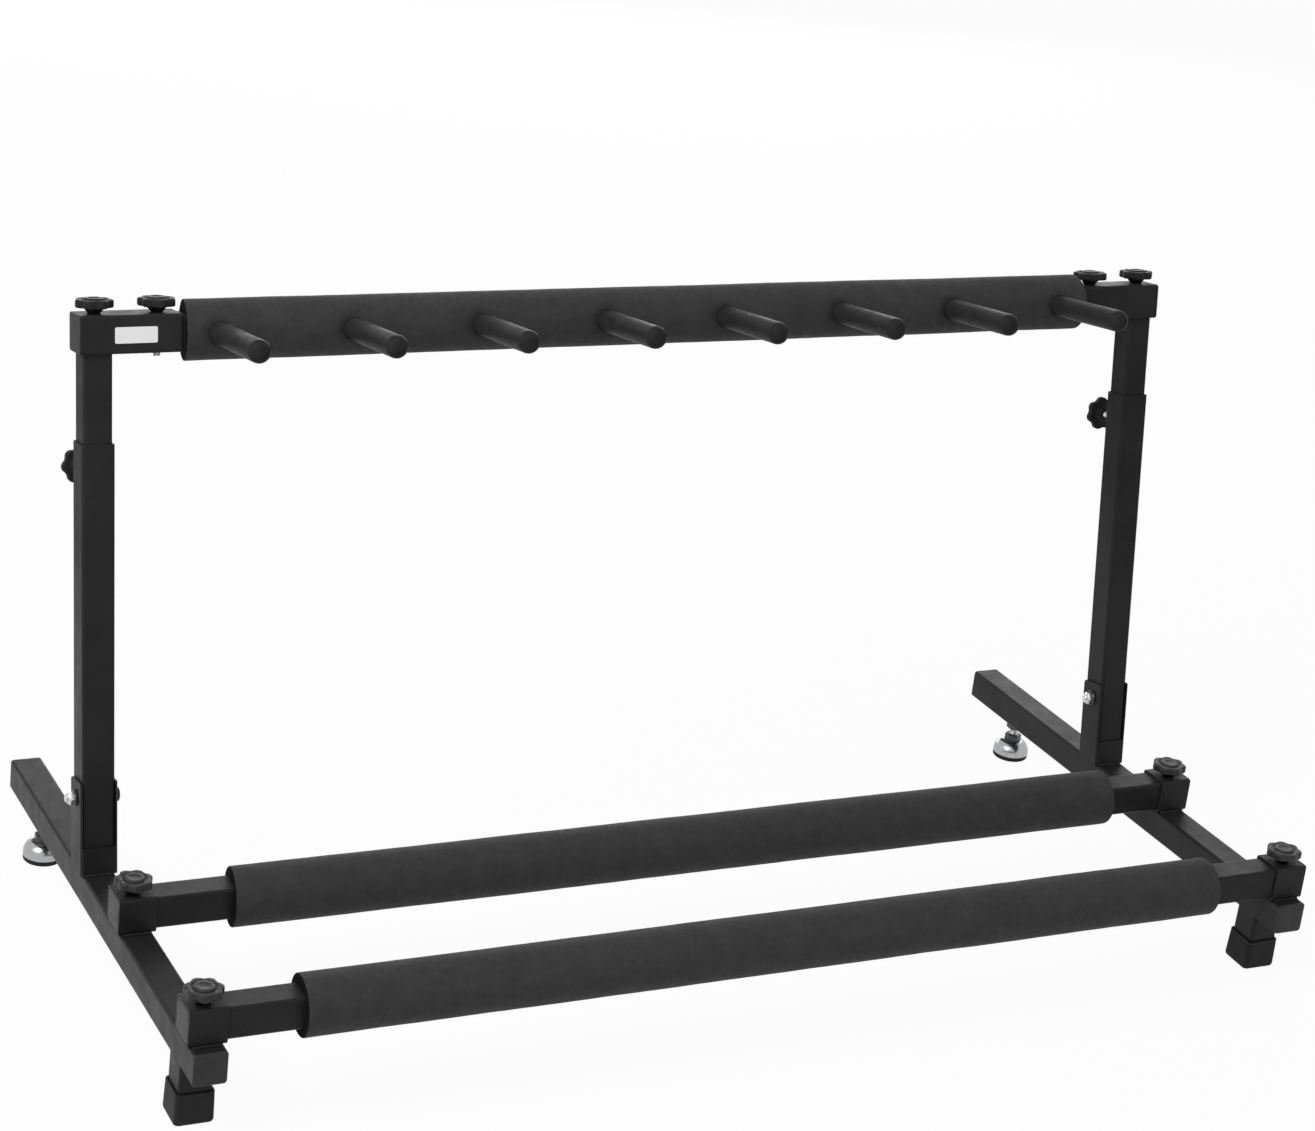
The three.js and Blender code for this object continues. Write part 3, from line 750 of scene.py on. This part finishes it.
def make_leg(name, side):
    y, _ = rail_point(LEG_SETBACK)
    place = at(side * SIDE_X, y, LEG_BOTTOM)
    length = underside(y) + CORNER - 0.1 - LEG_BOTTOM
    tube = square_tube(TUBE, WALL, length, math.tan(RAIL_TILT))
    part(f"leg_tube_{name}", tube, place, "steel", "base", f"front_leg_{name}")
    for i, way in enumerate((-1, 1)):
        edge = y + way * HALF
        weld_bead(
            f"leg_weld_{name}_{i + 1}",
            (side * SIDE_X - 10.2, edge, underside(edge) - 0.2),
            (side * SIDE_X + 10.2, edge, underside(edge) - 0.2),
            LEG_WELD,
            Matrix.Identity(4),
            "base",
            7.0 + way + side,
        )
    foot_cap(name, side, y)


def foot_cap(name, side, y):
    """Rubber cap: rounded sole, a lip round its mouth and a shallow groove under the lip."""
    outside = [
        (22.0, 0.35), (25.6, 0.0), (27.6, 0.15), (28.7, 0.75), (29.3, 1.7), (29.5, 3.0), (29.1, 12.0),
        (28.7, 21.4), (28.1, 21.9), (28.0, 22.5), (28.6, 23.0), (28.7, 24.0), (28.3, 24.7), (27.4, 25.0),
    ]  # fmt: skip
    inside = [(BORE, 25.0 - 0.5), (BORE, 4.0)]
    rings = [level(rounded_square(size, 3.4), z) for size, z in outside]
    rings += [level(rounded_square(size, CORNER), z) for size, z in inside]
    part(f"foot_rubber_{name}", skin(rings), at(side * SIDE_X, y, 0), "cap", "base", f"foot_cap_{name}")


def make_glide(name, side):
    y = rail_point(GLIDE_SETBACK)[0] - TUBE * math.sin(RAIL_TILT)
    stem_top = underside(y) + GLIDE_STEM_IN_RAIL
    place = at(side * SIDE_X, y, 0)
    body = f"rear_glide_{name}"
    rim, collar = GLIDE_RADIUS, GLIDE_COLLAR_WIDTH / math.sqrt(3)
    sole = [
        (rim - 6, 0.5), (rim - 3.4, 0.15), (rim - 2, 0.0), (rim - 0.8, 0.2), (rim - 0.25, 0.8),
        (rim - 0.1, GLIDE_SOLE - 0.3), (rim - 0.6, GLIDE_SOLE), (rim - 4, GLIDE_SOLE + 0.1),
    ]  # fmt: skip
    part(f"glide_sole_{name}", turned(sole, 80), place, "cap", body)
    dome = [(rim - 5, GLIDE_SOLE), (rim - 0.4, GLIDE_SOLE), (rim, GLIDE_SOLE + 0.35)]
    steps = 12
    for i in range(steps + 1):
        angle = i * math.pi / 2 / steps
        dome.append(
            (
                collar + (rim - collar) * math.cos(angle),
                GLIDE_SKIRT + (GLIDE_CROWN - GLIDE_SKIRT) * math.sin(angle),
            )
        )
    dome.append((collar - 2, GLIDE_CROWN + 0.1))
    part(f"glide_disc_{name}", turned(dome, 80), place, "chrome", body, f"rear_glide_{name}")
    nut = hexagon(GLIDE_COLLAR_WIDTH, GLIDE_COLLAR_HEIGHT, 0.9, both=True)
    part(f"glide_collar_{name}", nut, place @ at(0, 0, GLIDE_CROWN), "black_nut", body)
    thread = threaded(GLIDE_STEM, GLIDE_PITCH, GLIDE_CROWN + GLIDE_COLLAR_HEIGHT - 0.5, stem_top, 32)
    part(f"glide_stem_{name}", thread, place, "zinc", body)


def make_crossbar(place_name, setback):
    carrier = rail_frame() @ at(0, setback, BAR_HEIGHT)
    reach = SIDE_X + SLEEVE / 2 - PLUG_FLANGE - SEAM
    bar = solid(
        f"{place_name}_bar_tube", square_tube(TUBE, WALL, 2 * reach), carrier @ ALONG_X @ at(0, 0, -reach)
    )
    for side in SIDES.values():
        drill(bar, carrier @ at(side * SIDE_X, 0, HALF), STUD_HOLE, 6)
    settle(bar, "steel", "base", f"{place_name}_crossbar")
    for name, side in SIDES.items():
        nut_place = carrier @ at(side * SIDE_X, 0, HALF - WALL) @ Matrix.Rotation(math.pi, 4, "X")
        nut = solid(f"{place_name}_captive_nut_{name}", hexagon(HEX_WIDTH, NUT_HEIGHT), nut_place)
        drill(nut, nut_place, STUD_HOLE, 30)
        settle(nut, "zinc", "base")
        turn = Matrix.Rotation(side * math.pi / 2, 4, "Y")
        insert = SLEEVE / 2 - PLUG_FLANGE - HEX_WIDTH / math.sqrt(3) - 1
        part(
            f"{place_name}_bar_end_{name}",
            end_plug(BORE - 2 * SEAM, insert),
            carrier @ at(side * (SIDE_X + SLEEVE / 2 - PLUG_FLANGE), 0, 0) @ turn,
            "plastic",
            "base",
            f"{place_name}_bar_plug_{name}",
        )


# Hinge


def cheek_outline():
    """Side view of the hinge channel as (y, z), before its foot is cut along the rail."""
    front, back, top = -SLEEVE / 2 - 1, HALF, CHEEK_HEIGHT
    points = [(front, -12.0), (back, -12.0)]
    for centre, start in ((back - CHEEK_CORNER, 0.0), (-SLEEVE / 2 + CHEEK_CORNER, math.pi / 2)):
        for step in range(ARC_STEPS + 1):
            angle = start + step * math.pi / 2 / ARC_STEPS
            points.append(
                (centre + CHEEK_CORNER * math.cos(angle), top - CHEEK_CORNER + CHEEK_CORNER * math.sin(angle))
            )
    points.append((-SLEEVE / 2, -12.0))
    return points[1:]


def hinge_channel(name, side):
    place = upright_frame(side * SIDE_X)
    within = BORE / 2
    outline = rounded_square(SLEEVE, CORNER)
    block = skin([level(outline, -10), level(outline, CHEEK_HEIGHT + 5)])
    channel = solid(f"hinge_bracket_{name}", block, place)
    flank = skin([[(x, y, z) for y, z in cheek_outline()] for x in (-20.0, 20.0)])
    inner_outline = rounded_square(BORE, 1.1)
    slot = skin([level(inner_outline, -20), level(inner_outline, CHEEK_HEIGHT + 10)])
    back = box_shape((-within, 0, -20), (within, 40, CHEEK_HEIGHT + 10))
    window = box_shape((-within, -40, STOP_HEIGHT), (within, 0.5, CHEEK_HEIGHT + 10))
    rail_slab = moved(box_shape((-60, -90, -60), (60, 90, GAP)), Matrix.Rotation(LEAN - RAIL_TILT, 4, "X"))
    combine(channel, "INTERSECT", solid("flank", flank, place))
    for tool in (slot, back, window, rail_slab):
        combine(channel, "DIFFERENCE", solid("tool", tool, place))
    drill(channel, place @ at(0, 0, PIVOT_HEIGHT) @ ALONG_X, STUD_HOLE, 60)
    mend(soften(mend(channel), 0.3, 2, 60))
    settle(channel, "steel", "base", f"hinge_channel_{name}")
    rail = rail_frame(side * SIDE_X)
    front = HINGE_SETBACK - SLEEVE / 2 / math.cos(LEAN - RAIL_TILT)
    start, end = (-11, front, 0.2), (11, front, 0.2)
    weld_bead(f"hinge_weld_{name}_1", start, end, SHEET_WELD, rail, "base", 3.3 + side)
    for i, way in enumerate((-1, 1)):
        x = way * (BORE / 2 + 0.45)
        start, end = (x, front + 2.5, -0.35), (x, front + 25.5, -0.35)
        weld_bead(f"hinge_weld_{name}_{i + 2}", start, end, CHEEK_WELD, rail, "base", i + side)


def box_shape(low, high):
    x0, y0, z0 = low
    x1, y1, z1 = high
    rings = [[(x0, y0, z), (x1, y0, z), (x1, y1, z), (x0, y1, z)] for z in (z0, z1)]
    return skin(rings)


def pivot(name, side):
    """Through bolt with a black-capped head on the right cheek, and a washer and lock nut on the left one."""
    place = upright_frame(side * SIDE_X) @ at(0, 0, PIVOT_HEIGHT) @ Matrix.Rotation(-math.pi / 2, 4, "Y")
    seat = SLEEVE / 2 + GAP
    part(
        f"pivot_washer_{name}",
        washer(3.2, WASHER_RADIUS, WASHER_THICKNESS),
        place @ at(0, 0, seat),
        "black_nut",
        "base",
    )
    nut_face = seat + WASHER_THICKNESS
    crown = [(4.55, 3.2), (4.6, 4.0), (4.3, 4.7), (3.7, LOCK_NUT_HEIGHT), (3.1, 4.95), (2.9, 4.4)]
    collar = turned(crown)
    nut = solid(f"pivot_lock_nut_{name}", hexagon(HEX_WIDTH, 3.7, 0.8, both=True), place @ at(0, 0, nut_face))
    combine(nut, "UNION", solid("collar", collar, place @ at(0, 0, nut_face)))
    settle(nut, "zinc", "base", f"hinge_nut_{name}")
    end = nut_face + LOCK_NUT_HEIGHT + BOLT_END
    shank = threaded(STUD, STUD_PITCH, end - 16, end)
    smooth_shank = turned([(2.95, -seat - 2), (2.95, end - 15.5)], 32)
    head_place = Matrix.Rotation(math.pi, 4, "X") @ at(0, 0, seat)
    head = hexagon(HEX_WIDTH, HEAD_HEIGHT, 0.9, dome=0.15)
    part(f"pivot_head_{name}", head, place @ head_place, "plastic", "base")
    bolt = solid(f"pivot_bolt_{name}", shank, place)
    combine(bolt, "UNION", solid("shank", smooth_shank, place))
    settle(bolt, "zinc", "base", f"hinge_bolt_{name}")


# Uprights and corners


def lower_upright(name, side):
    place = upright_frame(side * SIDE_X)
    clear = PIVOT_HEIGHT * math.cos(LEAN - RAIL_TILT) - GAP - SWING_CLEARANCE
    foot = PIVOT_HEIGHT - math.sqrt(clear**2 - HALF**2)
    tube = square_tube(TUBE, WALL, SHOULDER_HEIGHT - foot)
    post = solid(f"lower_post_{name}", tube, place @ at(0, 0, foot))
    drill(post, place @ at(0, 0, PIVOT_HEIGHT) @ ALONG_X, STUD_HOLE, 60)
    lock = place @ at(0, HALF, LOCK_HEIGHT) @ ALONG_Y
    drill(post, lock, STUD_HOLE, 8)
    settle(post, "steel", f"lower_{name}", f"lower_upright_{name}")
    nut = solid(f"lock_weld_nut_{name}", hexagon(HEX_WIDTH, NUT_HEIGHT), lock)
    drill(nut, lock, STUD_HOLE, 30)
    settle(nut, "steel", f"lower_{name}")


def upper_upright(name, side):
    place = upright_frame(side * SIDE_X)
    foot = PIVOT_HEIGHT + STUD / 2 + GAP + LOWERING
    top = CORNER_TOP - SHEET - GAP
    part(
        f"upper_post_{name}",
        square_tube(UPPER_TUBE, WALL, top - foot),
        place @ at(0, 0, foot),
        "steel",
        "upper_frame",
        f"upper_upright_{name}",
    )


def corner_sleeve(name, side):
    place = upright_frame(side * SIDE_X)
    start = -SLEEVE / 2 + PLUG_FLANGE + SEAM
    length = CORNER_REACH - start
    inward = Matrix.Rotation(-side * math.pi / 2, 4, "Y")
    sleeve = solid(
        f"corner_tube_{name}",
        square_tube(SLEEVE, SHEET, length),
        place @ at(0, 0, TOP_BAR_HEIGHT) @ inward @ at(0, 0, start),
    )
    entry = stack([(UPPER_TUBE + 2 * GAP, -8), (UPPER_TUBE + 2 * GAP, 8)])
    combine(sleeve, "DIFFERENCE", solid("entry", entry, place @ at(0, 0, CORNER_HEIGHT)))
    drill(sleeve, place @ at(0, 0, CORNER_TOP), STUD_HOLE, 10)
    drill(sleeve, place @ at(-side * KNOB_SPACING, 0, TOP_BAR_HEIGHT), STUD_HOLE, 60)
    settle(sleeve, "steel", "upper_frame", f"corner_sleeve_{name}")
    outer_end = at(side * (SLEEVE / 2 - PLUG_FLANGE), 0, TOP_BAR_HEIGHT)
    part(
        f"corner_end_{name}",
        end_plug(SLEEVE, CORNER_PLUG_INSERT),
        place @ outer_end @ Matrix.Rotation(side * math.pi / 2, 4, "Y"),
        "plastic",
        "upper_frame",
        f"corner_plug_{name}",
    )


def blank_label():
    """Plain white label on the left corner sleeve's front face."""
    place = upright_frame(-SIDE_X)
    corner = LABEL_CORNER
    outline = []
    for cx, cz, start in ((1, 1, 0), (-1, 1, 1), (-1, -1, 2), (1, -1, 3)):
        for step in range(5):
            angle = (start + step / 4) * math.pi / 2
            outline.append(
                (
                    cx * (LABEL_WIDTH / 2 - corner) + corner * math.cos(angle),
                    cz * (LABEL_HEIGHT / 2 - corner) + corner * math.sin(angle),
                )
            )
    layers = ((-0.05, 1.0), (0.13, 1.0), (LABEL_THICKNESS, 0.995))
    rings = [[(x * scale, z * scale, y) for x, z in outline] for y, scale in layers]
    middle = at(LABEL_INSET, -SLEEVE / 2, CORNER_HEIGHT + LABEL_RISE)
    centre = place @ middle @ Matrix.Rotation(math.pi / 2, 4, "X")
    part("blank_label", skin(rings), centre, "label", "upper_frame")


# Knobs


def knob_head():
    """Lobed rim on a tapered hub, with a recess ring and a dimpled disc on top."""
    levels = [
        (4.7, 0.0, 0.0), (5.0, 0.3, 0.0), (5.6, 1.0, 0.0), (6.5, 2.2, 0.0), (7.3, 3.3, 0.05),
        (8.1, 3.85, 0.15), (9.3, 4.05, 0.5), (11.5, 4.1, 0.9), (13.2, 4.15, 1.0), (13.9, 4.45, 1.0),
        (KNOB_RADIUS, 5.3, 1.0), (KNOB_RADIUS, 8.7, 1.0), (14.05, 9.45, 1.0), (13.5, 9.9, 1.0),
        (12.7, 10.08, 1.0), (11.2, 10.1, 0.75), (9.9, 10.05, 0.2), (9.4, 9.8, 0.0), (9.1, 9.2, 0.0),
        (8.5, 9.05, 0.0), (7.9, 9.2, 0.0), (7.65, 10.1, 0.0), (7.4, 10.7, 0.0), (6.9, 10.95, 0.0),
        (5.6, 11.0, 0.0), (4.3, 10.98, 0.0), (3.9, 10.75, 0.0), (3.2, 10.6, 0.0), (1.6, 10.52, 0.0),
        (0.0, 10.5, 0.0),
    ]  # fmt: skip
    rings = []
    for radius, z, lobe in levels:
        ring = []
        for i in range(KNOB_SIDES):
            angle = 2 * math.pi * i / KNOB_SIDES
            valley = ((1 - math.cos(KNOB_LOBES * angle)) / 2) ** 1.3
            reach = max(radius * (1 - KNOB_LOBE_SHARE * lobe * valley), 1e-5)
            ring.append((reach * math.cos(angle), reach * math.sin(angle), z))
        rings.append(ring)
    return skin(rings)


def star_knob(node, place, stud_length):
    """Moulded head, and a threaded steel stud moulded into it."""
    turn = Matrix.Rotation(math.radians(KNOB_TURNS[node]), 4, "Z")
    shading = {"smooth": math.radians(60), "weighted": False}
    part(f"{node}_head", knob_head(), place @ turn, "plastic", node, node, **shading)
    part(f"{node}_stud", threaded(STUD, STUD_PITCH, -stud_length, 0.5), place, "zinc", node)


def make_knobs():
    for name, side in SIDES.items():
        rail = rail_frame(side * SIDE_X)
        upright = upright_frame(side * SIDE_X)
        for bar, setback in BAR_SETBACKS.items():
            seat = rail @ at(0, setback, GAP + SLEEVE + GAP)
            star_knob(f"{bar}_bar_knob_{name}", seat, STUD_IN_NUT)
        lock = upright @ at(0, HALF + LOCK_STANDOFF, LOCK_HEIGHT) @ ALONG_Y
        star_knob(f"height_lock_knob_{name}", lock, LOCK_STANDOFF + WALL)
        star_knob(f"corner_outer_knob_{name}", upright @ at(0, 0, CORNER_TOP + GAP), STUD_IN_NUT)
        inner = upright @ at(-side * KNOB_SPACING, 0, CORNER_TOP + GAP)
        star_knob(f"corner_inner_knob_{name}", inner, GAP + SLEEVE + STUD_SHOWING)


# Foam, top bar and pegs


def peg_places():
    return [(i - (PEG_COUNT - 1) / 2) * PEG_PITCH for i in range(PEG_COUNT)]


def foam_stations(left, right, spacing):
    """Places along a foam sleeve, close together at its rounded ends, with how far each is rounded in."""
    steps = 7
    ends = [FOAM_EDGE * (1 - math.cos(i * math.pi / 2 / steps)) for i in range(steps + 1)]
    inner = right - left - 2 * FOAM_EDGE
    count = max(2, round(inner / spacing))
    middle = [FOAM_EDGE + inner * i / count for i in range(1, count)]
    return ends + middle + [right - left - e for e in reversed(ends)]


def foam_rings(left, right, spacing, sides, seed, slant, dent=None):
    """Rings of a foam sleeve along X: the soft outside from left to right, then the bore back again."""
    total = right - left

    def leaned(s, y):
        """Place along X of a point, on rings that lie parallel to the slanted left end and then square up."""
        return left + s + slant * y / FOAM_RADIUS * max(0.0, 1 - s / SLANT_LENGTH)

    def outer(s):
        edge = min(s, total - s)
        inset = 0.0
        if edge < FOAM_EDGE:
            inset = FOAM_EDGE - math.sqrt(max(FOAM_EDGE**2 - (FOAM_EDGE - edge) ** 2, 0.0))
        ring = []
        for k in range(sides):
            angle = 2 * math.pi * k / sides
            y, z = -math.sin(angle), math.cos(angle)
            swell = 0.32 * noise.noise(Vector(((left + s) / 75.0, y * 1.1 + seed, z * 1.1)))
            swell += 0.12 * noise.noise(Vector(((left + s) / 14.0, y * 3.0, z * 3.0 + seed)))
            radius = FOAM_RADIUS - 0.25 + swell - inset
            point = Vector((leaned(s, radius * y), radius * y, radius * z))
            ring.append(tuple(dent(point) if dent else point))
        return ring

    def bore(s, ease=0.0):
        size = BORE + 2 * ease
        ring = []
        for k in range(sides):
            angle = 2 * math.pi * k / sides
            y, z = -math.sin(angle), math.cos(angle)
            reach = min(size / 2 / max(abs(y), abs(z)), size / 2 * 1.33)
            ring.append((leaned(s, reach * y), reach * y, reach * z))
        return ring

    def face(ring, toward, share, push):
        """Ring part of the way from the outside to the bore, over a slightly hollow end."""
        points = []
        for a, b in zip(ring, toward):
            x, y, z = (p * (1 - share) + q * share for p, q in zip(a, b))
            points.append((x + push, y, z))
        return points

    outside = [outer(s) for s in foam_stations(left, right, spacing)]
    lip = 0.8
    first, last = bore(0.0, lip), bore(total, lip)
    rings = [face(outside[0], first, share, push) for share, push in ((0.75, 0.25), (0.4, 0.4))]
    rings += outside
    rings += [face(outside[-1], last, share, push) for share, push in ((0.4, -0.4), (0.75, -0.25))]
    rings += [last, bore(total - lip), bore(lip), first]
    return rings


def make_crossbar_foam(place_name, setback, seed):
    left, right = FOAM_SPANS[place_name]
    rings = foam_rings(left, right, 5.0, 72, seed, FOAM_SLANTS[place_name])
    foam = part(
        f"{place_name}_roll",
        skin(rings, joined=True),
        rail_frame() @ at(0, setback, BAR_HEIGHT),
        "foam",
        "base",
        f"{place_name}_foam",
        smooth=math.radians(80),
        weighted=False,
    )


def top_foam_dent(point):
    """Foam drawn in round each peg."""
    x, y, z = point
    for peg in peg_places():
        if y < 0 and abs(x - peg) < 24:
            d = math.hypot(x - peg, z)
            y += 1.9 * math.exp(-((max(d - PEG_DIAMETER / 2, 0.0) / 3.4) ** 2))
    return Vector((x, y, z))


def make_top_bar():
    place = upright_frame() @ at(0, 0, TOP_BAR_HEIGHT)
    reach = SIDE_X - UPPER_TUBE / 2 - GAP
    bar = solid("top_bar_tube", square_tube(TUBE, WALL, 2 * reach), place @ ALONG_X @ at(0, 0, -reach))
    start = HALF - WALL / 2
    length = PEG_REACH - PEG_TIP_WALL - GAP - start
    pin = turned([(PEG_ROD / 2, 0), (PEG_ROD / 2, length - 0.6), (PEG_ROD / 2 - 0.6, length)], 32)
    rods = merged(
        *(moved(pin, at(x, -start, 0) @ Matrix.Rotation(math.pi / 2, 4, "X")) for x in peg_places())
    )
    combine(bar, "UNION", solid("rods", rods, place))
    for side in SIDES.values():
        drill(bar, place @ at(side * (SIDE_X - KNOB_SPACING), 0, 0), STUD_HOLE, 50)
    settle(mend(bar), "steel", "upper_frame", "top_bar")

    left, right = FOAM_SPANS["top"]
    rings = foam_rings(left, right, 2.6, 96, 5.7, FOAM_SLANTS["top"], top_foam_dent)
    foam = solid("top_roll", skin(rings, joined=True), place)
    holes = merged(
        *(
            moved(
                turned([(PEG_DIAMETER / 2 + GAP, 0), (PEG_DIAMETER / 2 + GAP, 30)], 40),
                at(x, -1, 0) @ Matrix.Rotation(math.pi / 2, 4, "X"),
            )
            for x in peg_places()
        )
    )
    combine(foam, "DIFFERENCE", solid("holes", holes, place))
    settle(mend(foam), "foam", "upper_frame", "top_foam", smooth=math.radians(60), weighted=False)


def make_pegs():
    """Closed rubber sleeves over the rods, with rounded tips."""
    radius = PEG_DIAMETER / 2
    hole = PEG_ROD / 2 + GAP
    length = PEG_REACH - HALF - GAP
    tip = []
    steps = 8
    for i in range(steps + 1):
        angle = i * math.pi / 2 / steps
        tip.append(
            (
                radius - PEG_TIP_ROUNDING * (1 - math.cos(angle)),
                length - 0.35 - PEG_TIP_ROUNDING * (1 - math.sin(angle)),
            )
        )
    profile = [(0.0, length - PEG_TIP_WALL), (hole, length - PEG_TIP_WALL), (hole, 0.0), (radius - 0.3, 0.0)]
    profile += [(radius, 0.3), (radius, length * 0.5)] + tip + [(radius * 0.3, length - 0.05), (0.0, length)]
    for i, x in enumerate(peg_places()):
        place = upright_frame() @ at(x, -HALF - GAP, TOP_BAR_HEIGHT) @ Matrix.Rotation(math.pi / 2, 4, "X")
        part(f"peg_rubber_{i + 1}", turned(profile, 56), place, "peg", "upper_frame", f"peg_sleeve_{i + 1}")


# Stage, lights and camera


FLOOR_REACH = 9000.0
FLOOR_DEPTH = 20.0
FLOOR_GLOW = 0.95
SKY_LIGHT = 0.42
CAMERA_EYE = (-1095.0, -1971.0, 1222.0)
CAMERA_AIM = (-34.2, 0.0, 302.0)
CAMERA_ROLL = math.radians(7.5)
CAMERA_LENS = 85.7
# Each lamp's place and aim in metres, its width and height, and its power in watts
LAMPS = {
    "key": ((-1.9, -0.6, 2.3), (0, 0, 0.2), 1.6, 1.6, 45),
    "rear": ((1.5, 2.2, 1.3), (0, 0, 0.2), 1.8, 0.7, 7),
    "horizon": ((1.0, 3.2, 0.55), (0, 0, 0.45), 3.0, 0.35, 20),
}


def make_stage():
    reach = FLOOR_REACH
    floor = solid("floor", box_shape((-reach, -reach, -FLOOR_DEPTH), (reach, reach, 0)))
    material = bpy.data.materials.new("pale_floor")
    material.use_nodes = True
    tree = material.node_tree
    tree.nodes.clear()
    output = tree.nodes.new("ShaderNodeOutputMaterial")
    paint = tree.nodes.new("ShaderNodeBsdfDiffuse")
    paint.inputs["Color"].default_value = (0.85, 0.85, 0.85, 1)
    glow = tree.nodes.new("ShaderNodeEmission")
    mix = tree.nodes.new("ShaderNodeMixShader")
    tree.links.new(seen_directly(tree, FLOOR_GLOW), mix.inputs[0])
    tree.links.new(paint.outputs[0], mix.inputs[1])
    tree.links.new(glow.outputs[0], mix.inputs[2])
    tree.links.new(mix.outputs[0], output.inputs[0])
    floor.data.materials.append(material)


def seen_directly(tree, share=1.0):
    """A share for rays from the camera or from a gloss, and zero for the light that falls on things."""
    paths = tree.nodes.new("ShaderNodeLightPath")
    total = paths.outputs["Is Camera Ray"]
    for name in ("Is Glossy Ray", "Is Transmission Ray"):
        largest = tree.nodes.new("ShaderNodeMath")
        largest.operation = "MAXIMUM"
        tree.links.new(total, largest.inputs[0])
        tree.links.new(paths.outputs[name], largest.inputs[1])
        total = largest.outputs[0]
    scaled = tree.nodes.new("ShaderNodeMath")
    scaled.operation = "MULTIPLY"
    scaled.inputs[1].default_value = share
    tree.links.new(total, scaled.inputs[0])
    return scaled.outputs[0]


def make_world():
    world = bpy.data.worlds.new("studio")
    bpy.context.scene.world = world
    world.use_nodes = True
    tree = world.node_tree
    tree.nodes.clear()
    output = tree.nodes.new("ShaderNodeOutputWorld")
    lit = tree.nodes.new("ShaderNodeBackground")
    lit.inputs["Strength"].default_value = SKY_LIGHT
    seen = tree.nodes.new("ShaderNodeBackground")
    for node in (lit, seen):
        node.inputs["Color"].default_value = (1, 1, 1, 1)
    mix = tree.nodes.new("ShaderNodeMixShader")
    tree.links.new(seen_directly(tree), mix.inputs[0])
    tree.links.new(lit.outputs[0], mix.inputs[1])
    tree.links.new(seen.outputs[0], mix.inputs[2])
    tree.links.new(mix.outputs[0], output.inputs[0])


def lamp(name, place, target, width, height, watts):
    data = bpy.data.lights.new(name, "AREA")
    data.shape = "RECTANGLE"
    data.size, data.size_y = width, height
    data.energy = watts
    made = bpy.data.objects.new(name, data)
    bpy.context.scene.collection.objects.link(made)
    made.location = place
    made.visible_camera = False
    made.rotation_euler = (Vector(target) - Vector(place)).to_track_quat("-Z", "Y").to_euler()


def make_lights():
    for name, (place, target, width, height, watts) in LAMPS.items():
        lamp(name, place, target, width, height, watts)


def make_camera():
    data = bpy.data.cameras.new("camera")
    data.sensor_fit = "HORIZONTAL"
    data.sensor_width = 36.0
    data.lens = CAMERA_LENS
    data.clip_end = 100
    made = bpy.data.objects.new("camera", data)
    bpy.context.scene.collection.objects.link(made)
    eye, aim = Vector(CAMERA_EYE) * MM, Vector(CAMERA_AIM) * MM
    facing = (aim - eye).to_track_quat("-Z", "Y").to_matrix().to_4x4()
    made.matrix_world = Matrix.Translation(eye) @ facing @ Matrix.Rotation(CAMERA_ROLL, 4, "Z")
    bpy.context.scene.camera = made


def build():
    for name, side in SIDES.items():
        make_rail(name, side)
        for bar, setback in BAR_SETBACKS.items():
            make_bracket(name, bar, setback, side)
        make_leg(name, side)
        make_glide(name, side)
        hinge_channel(name, side)
        pivot(name, side)
        lower_upright(name, side)
        upper_upright(name, side)
        corner_sleeve(name, side)
    for bar, setback in BAR_SETBACKS.items():
        make_crossbar(bar, setback)
        make_crossbar_foam(bar, setback, setback / 37.0)
    make_knobs()
    make_top_bar()
    make_pegs()
    blank_label()


make_camera()
make_world()
make_lights()
make_stage()
build()
bpy.context.scene.view_settings.view_transform = "Standard"
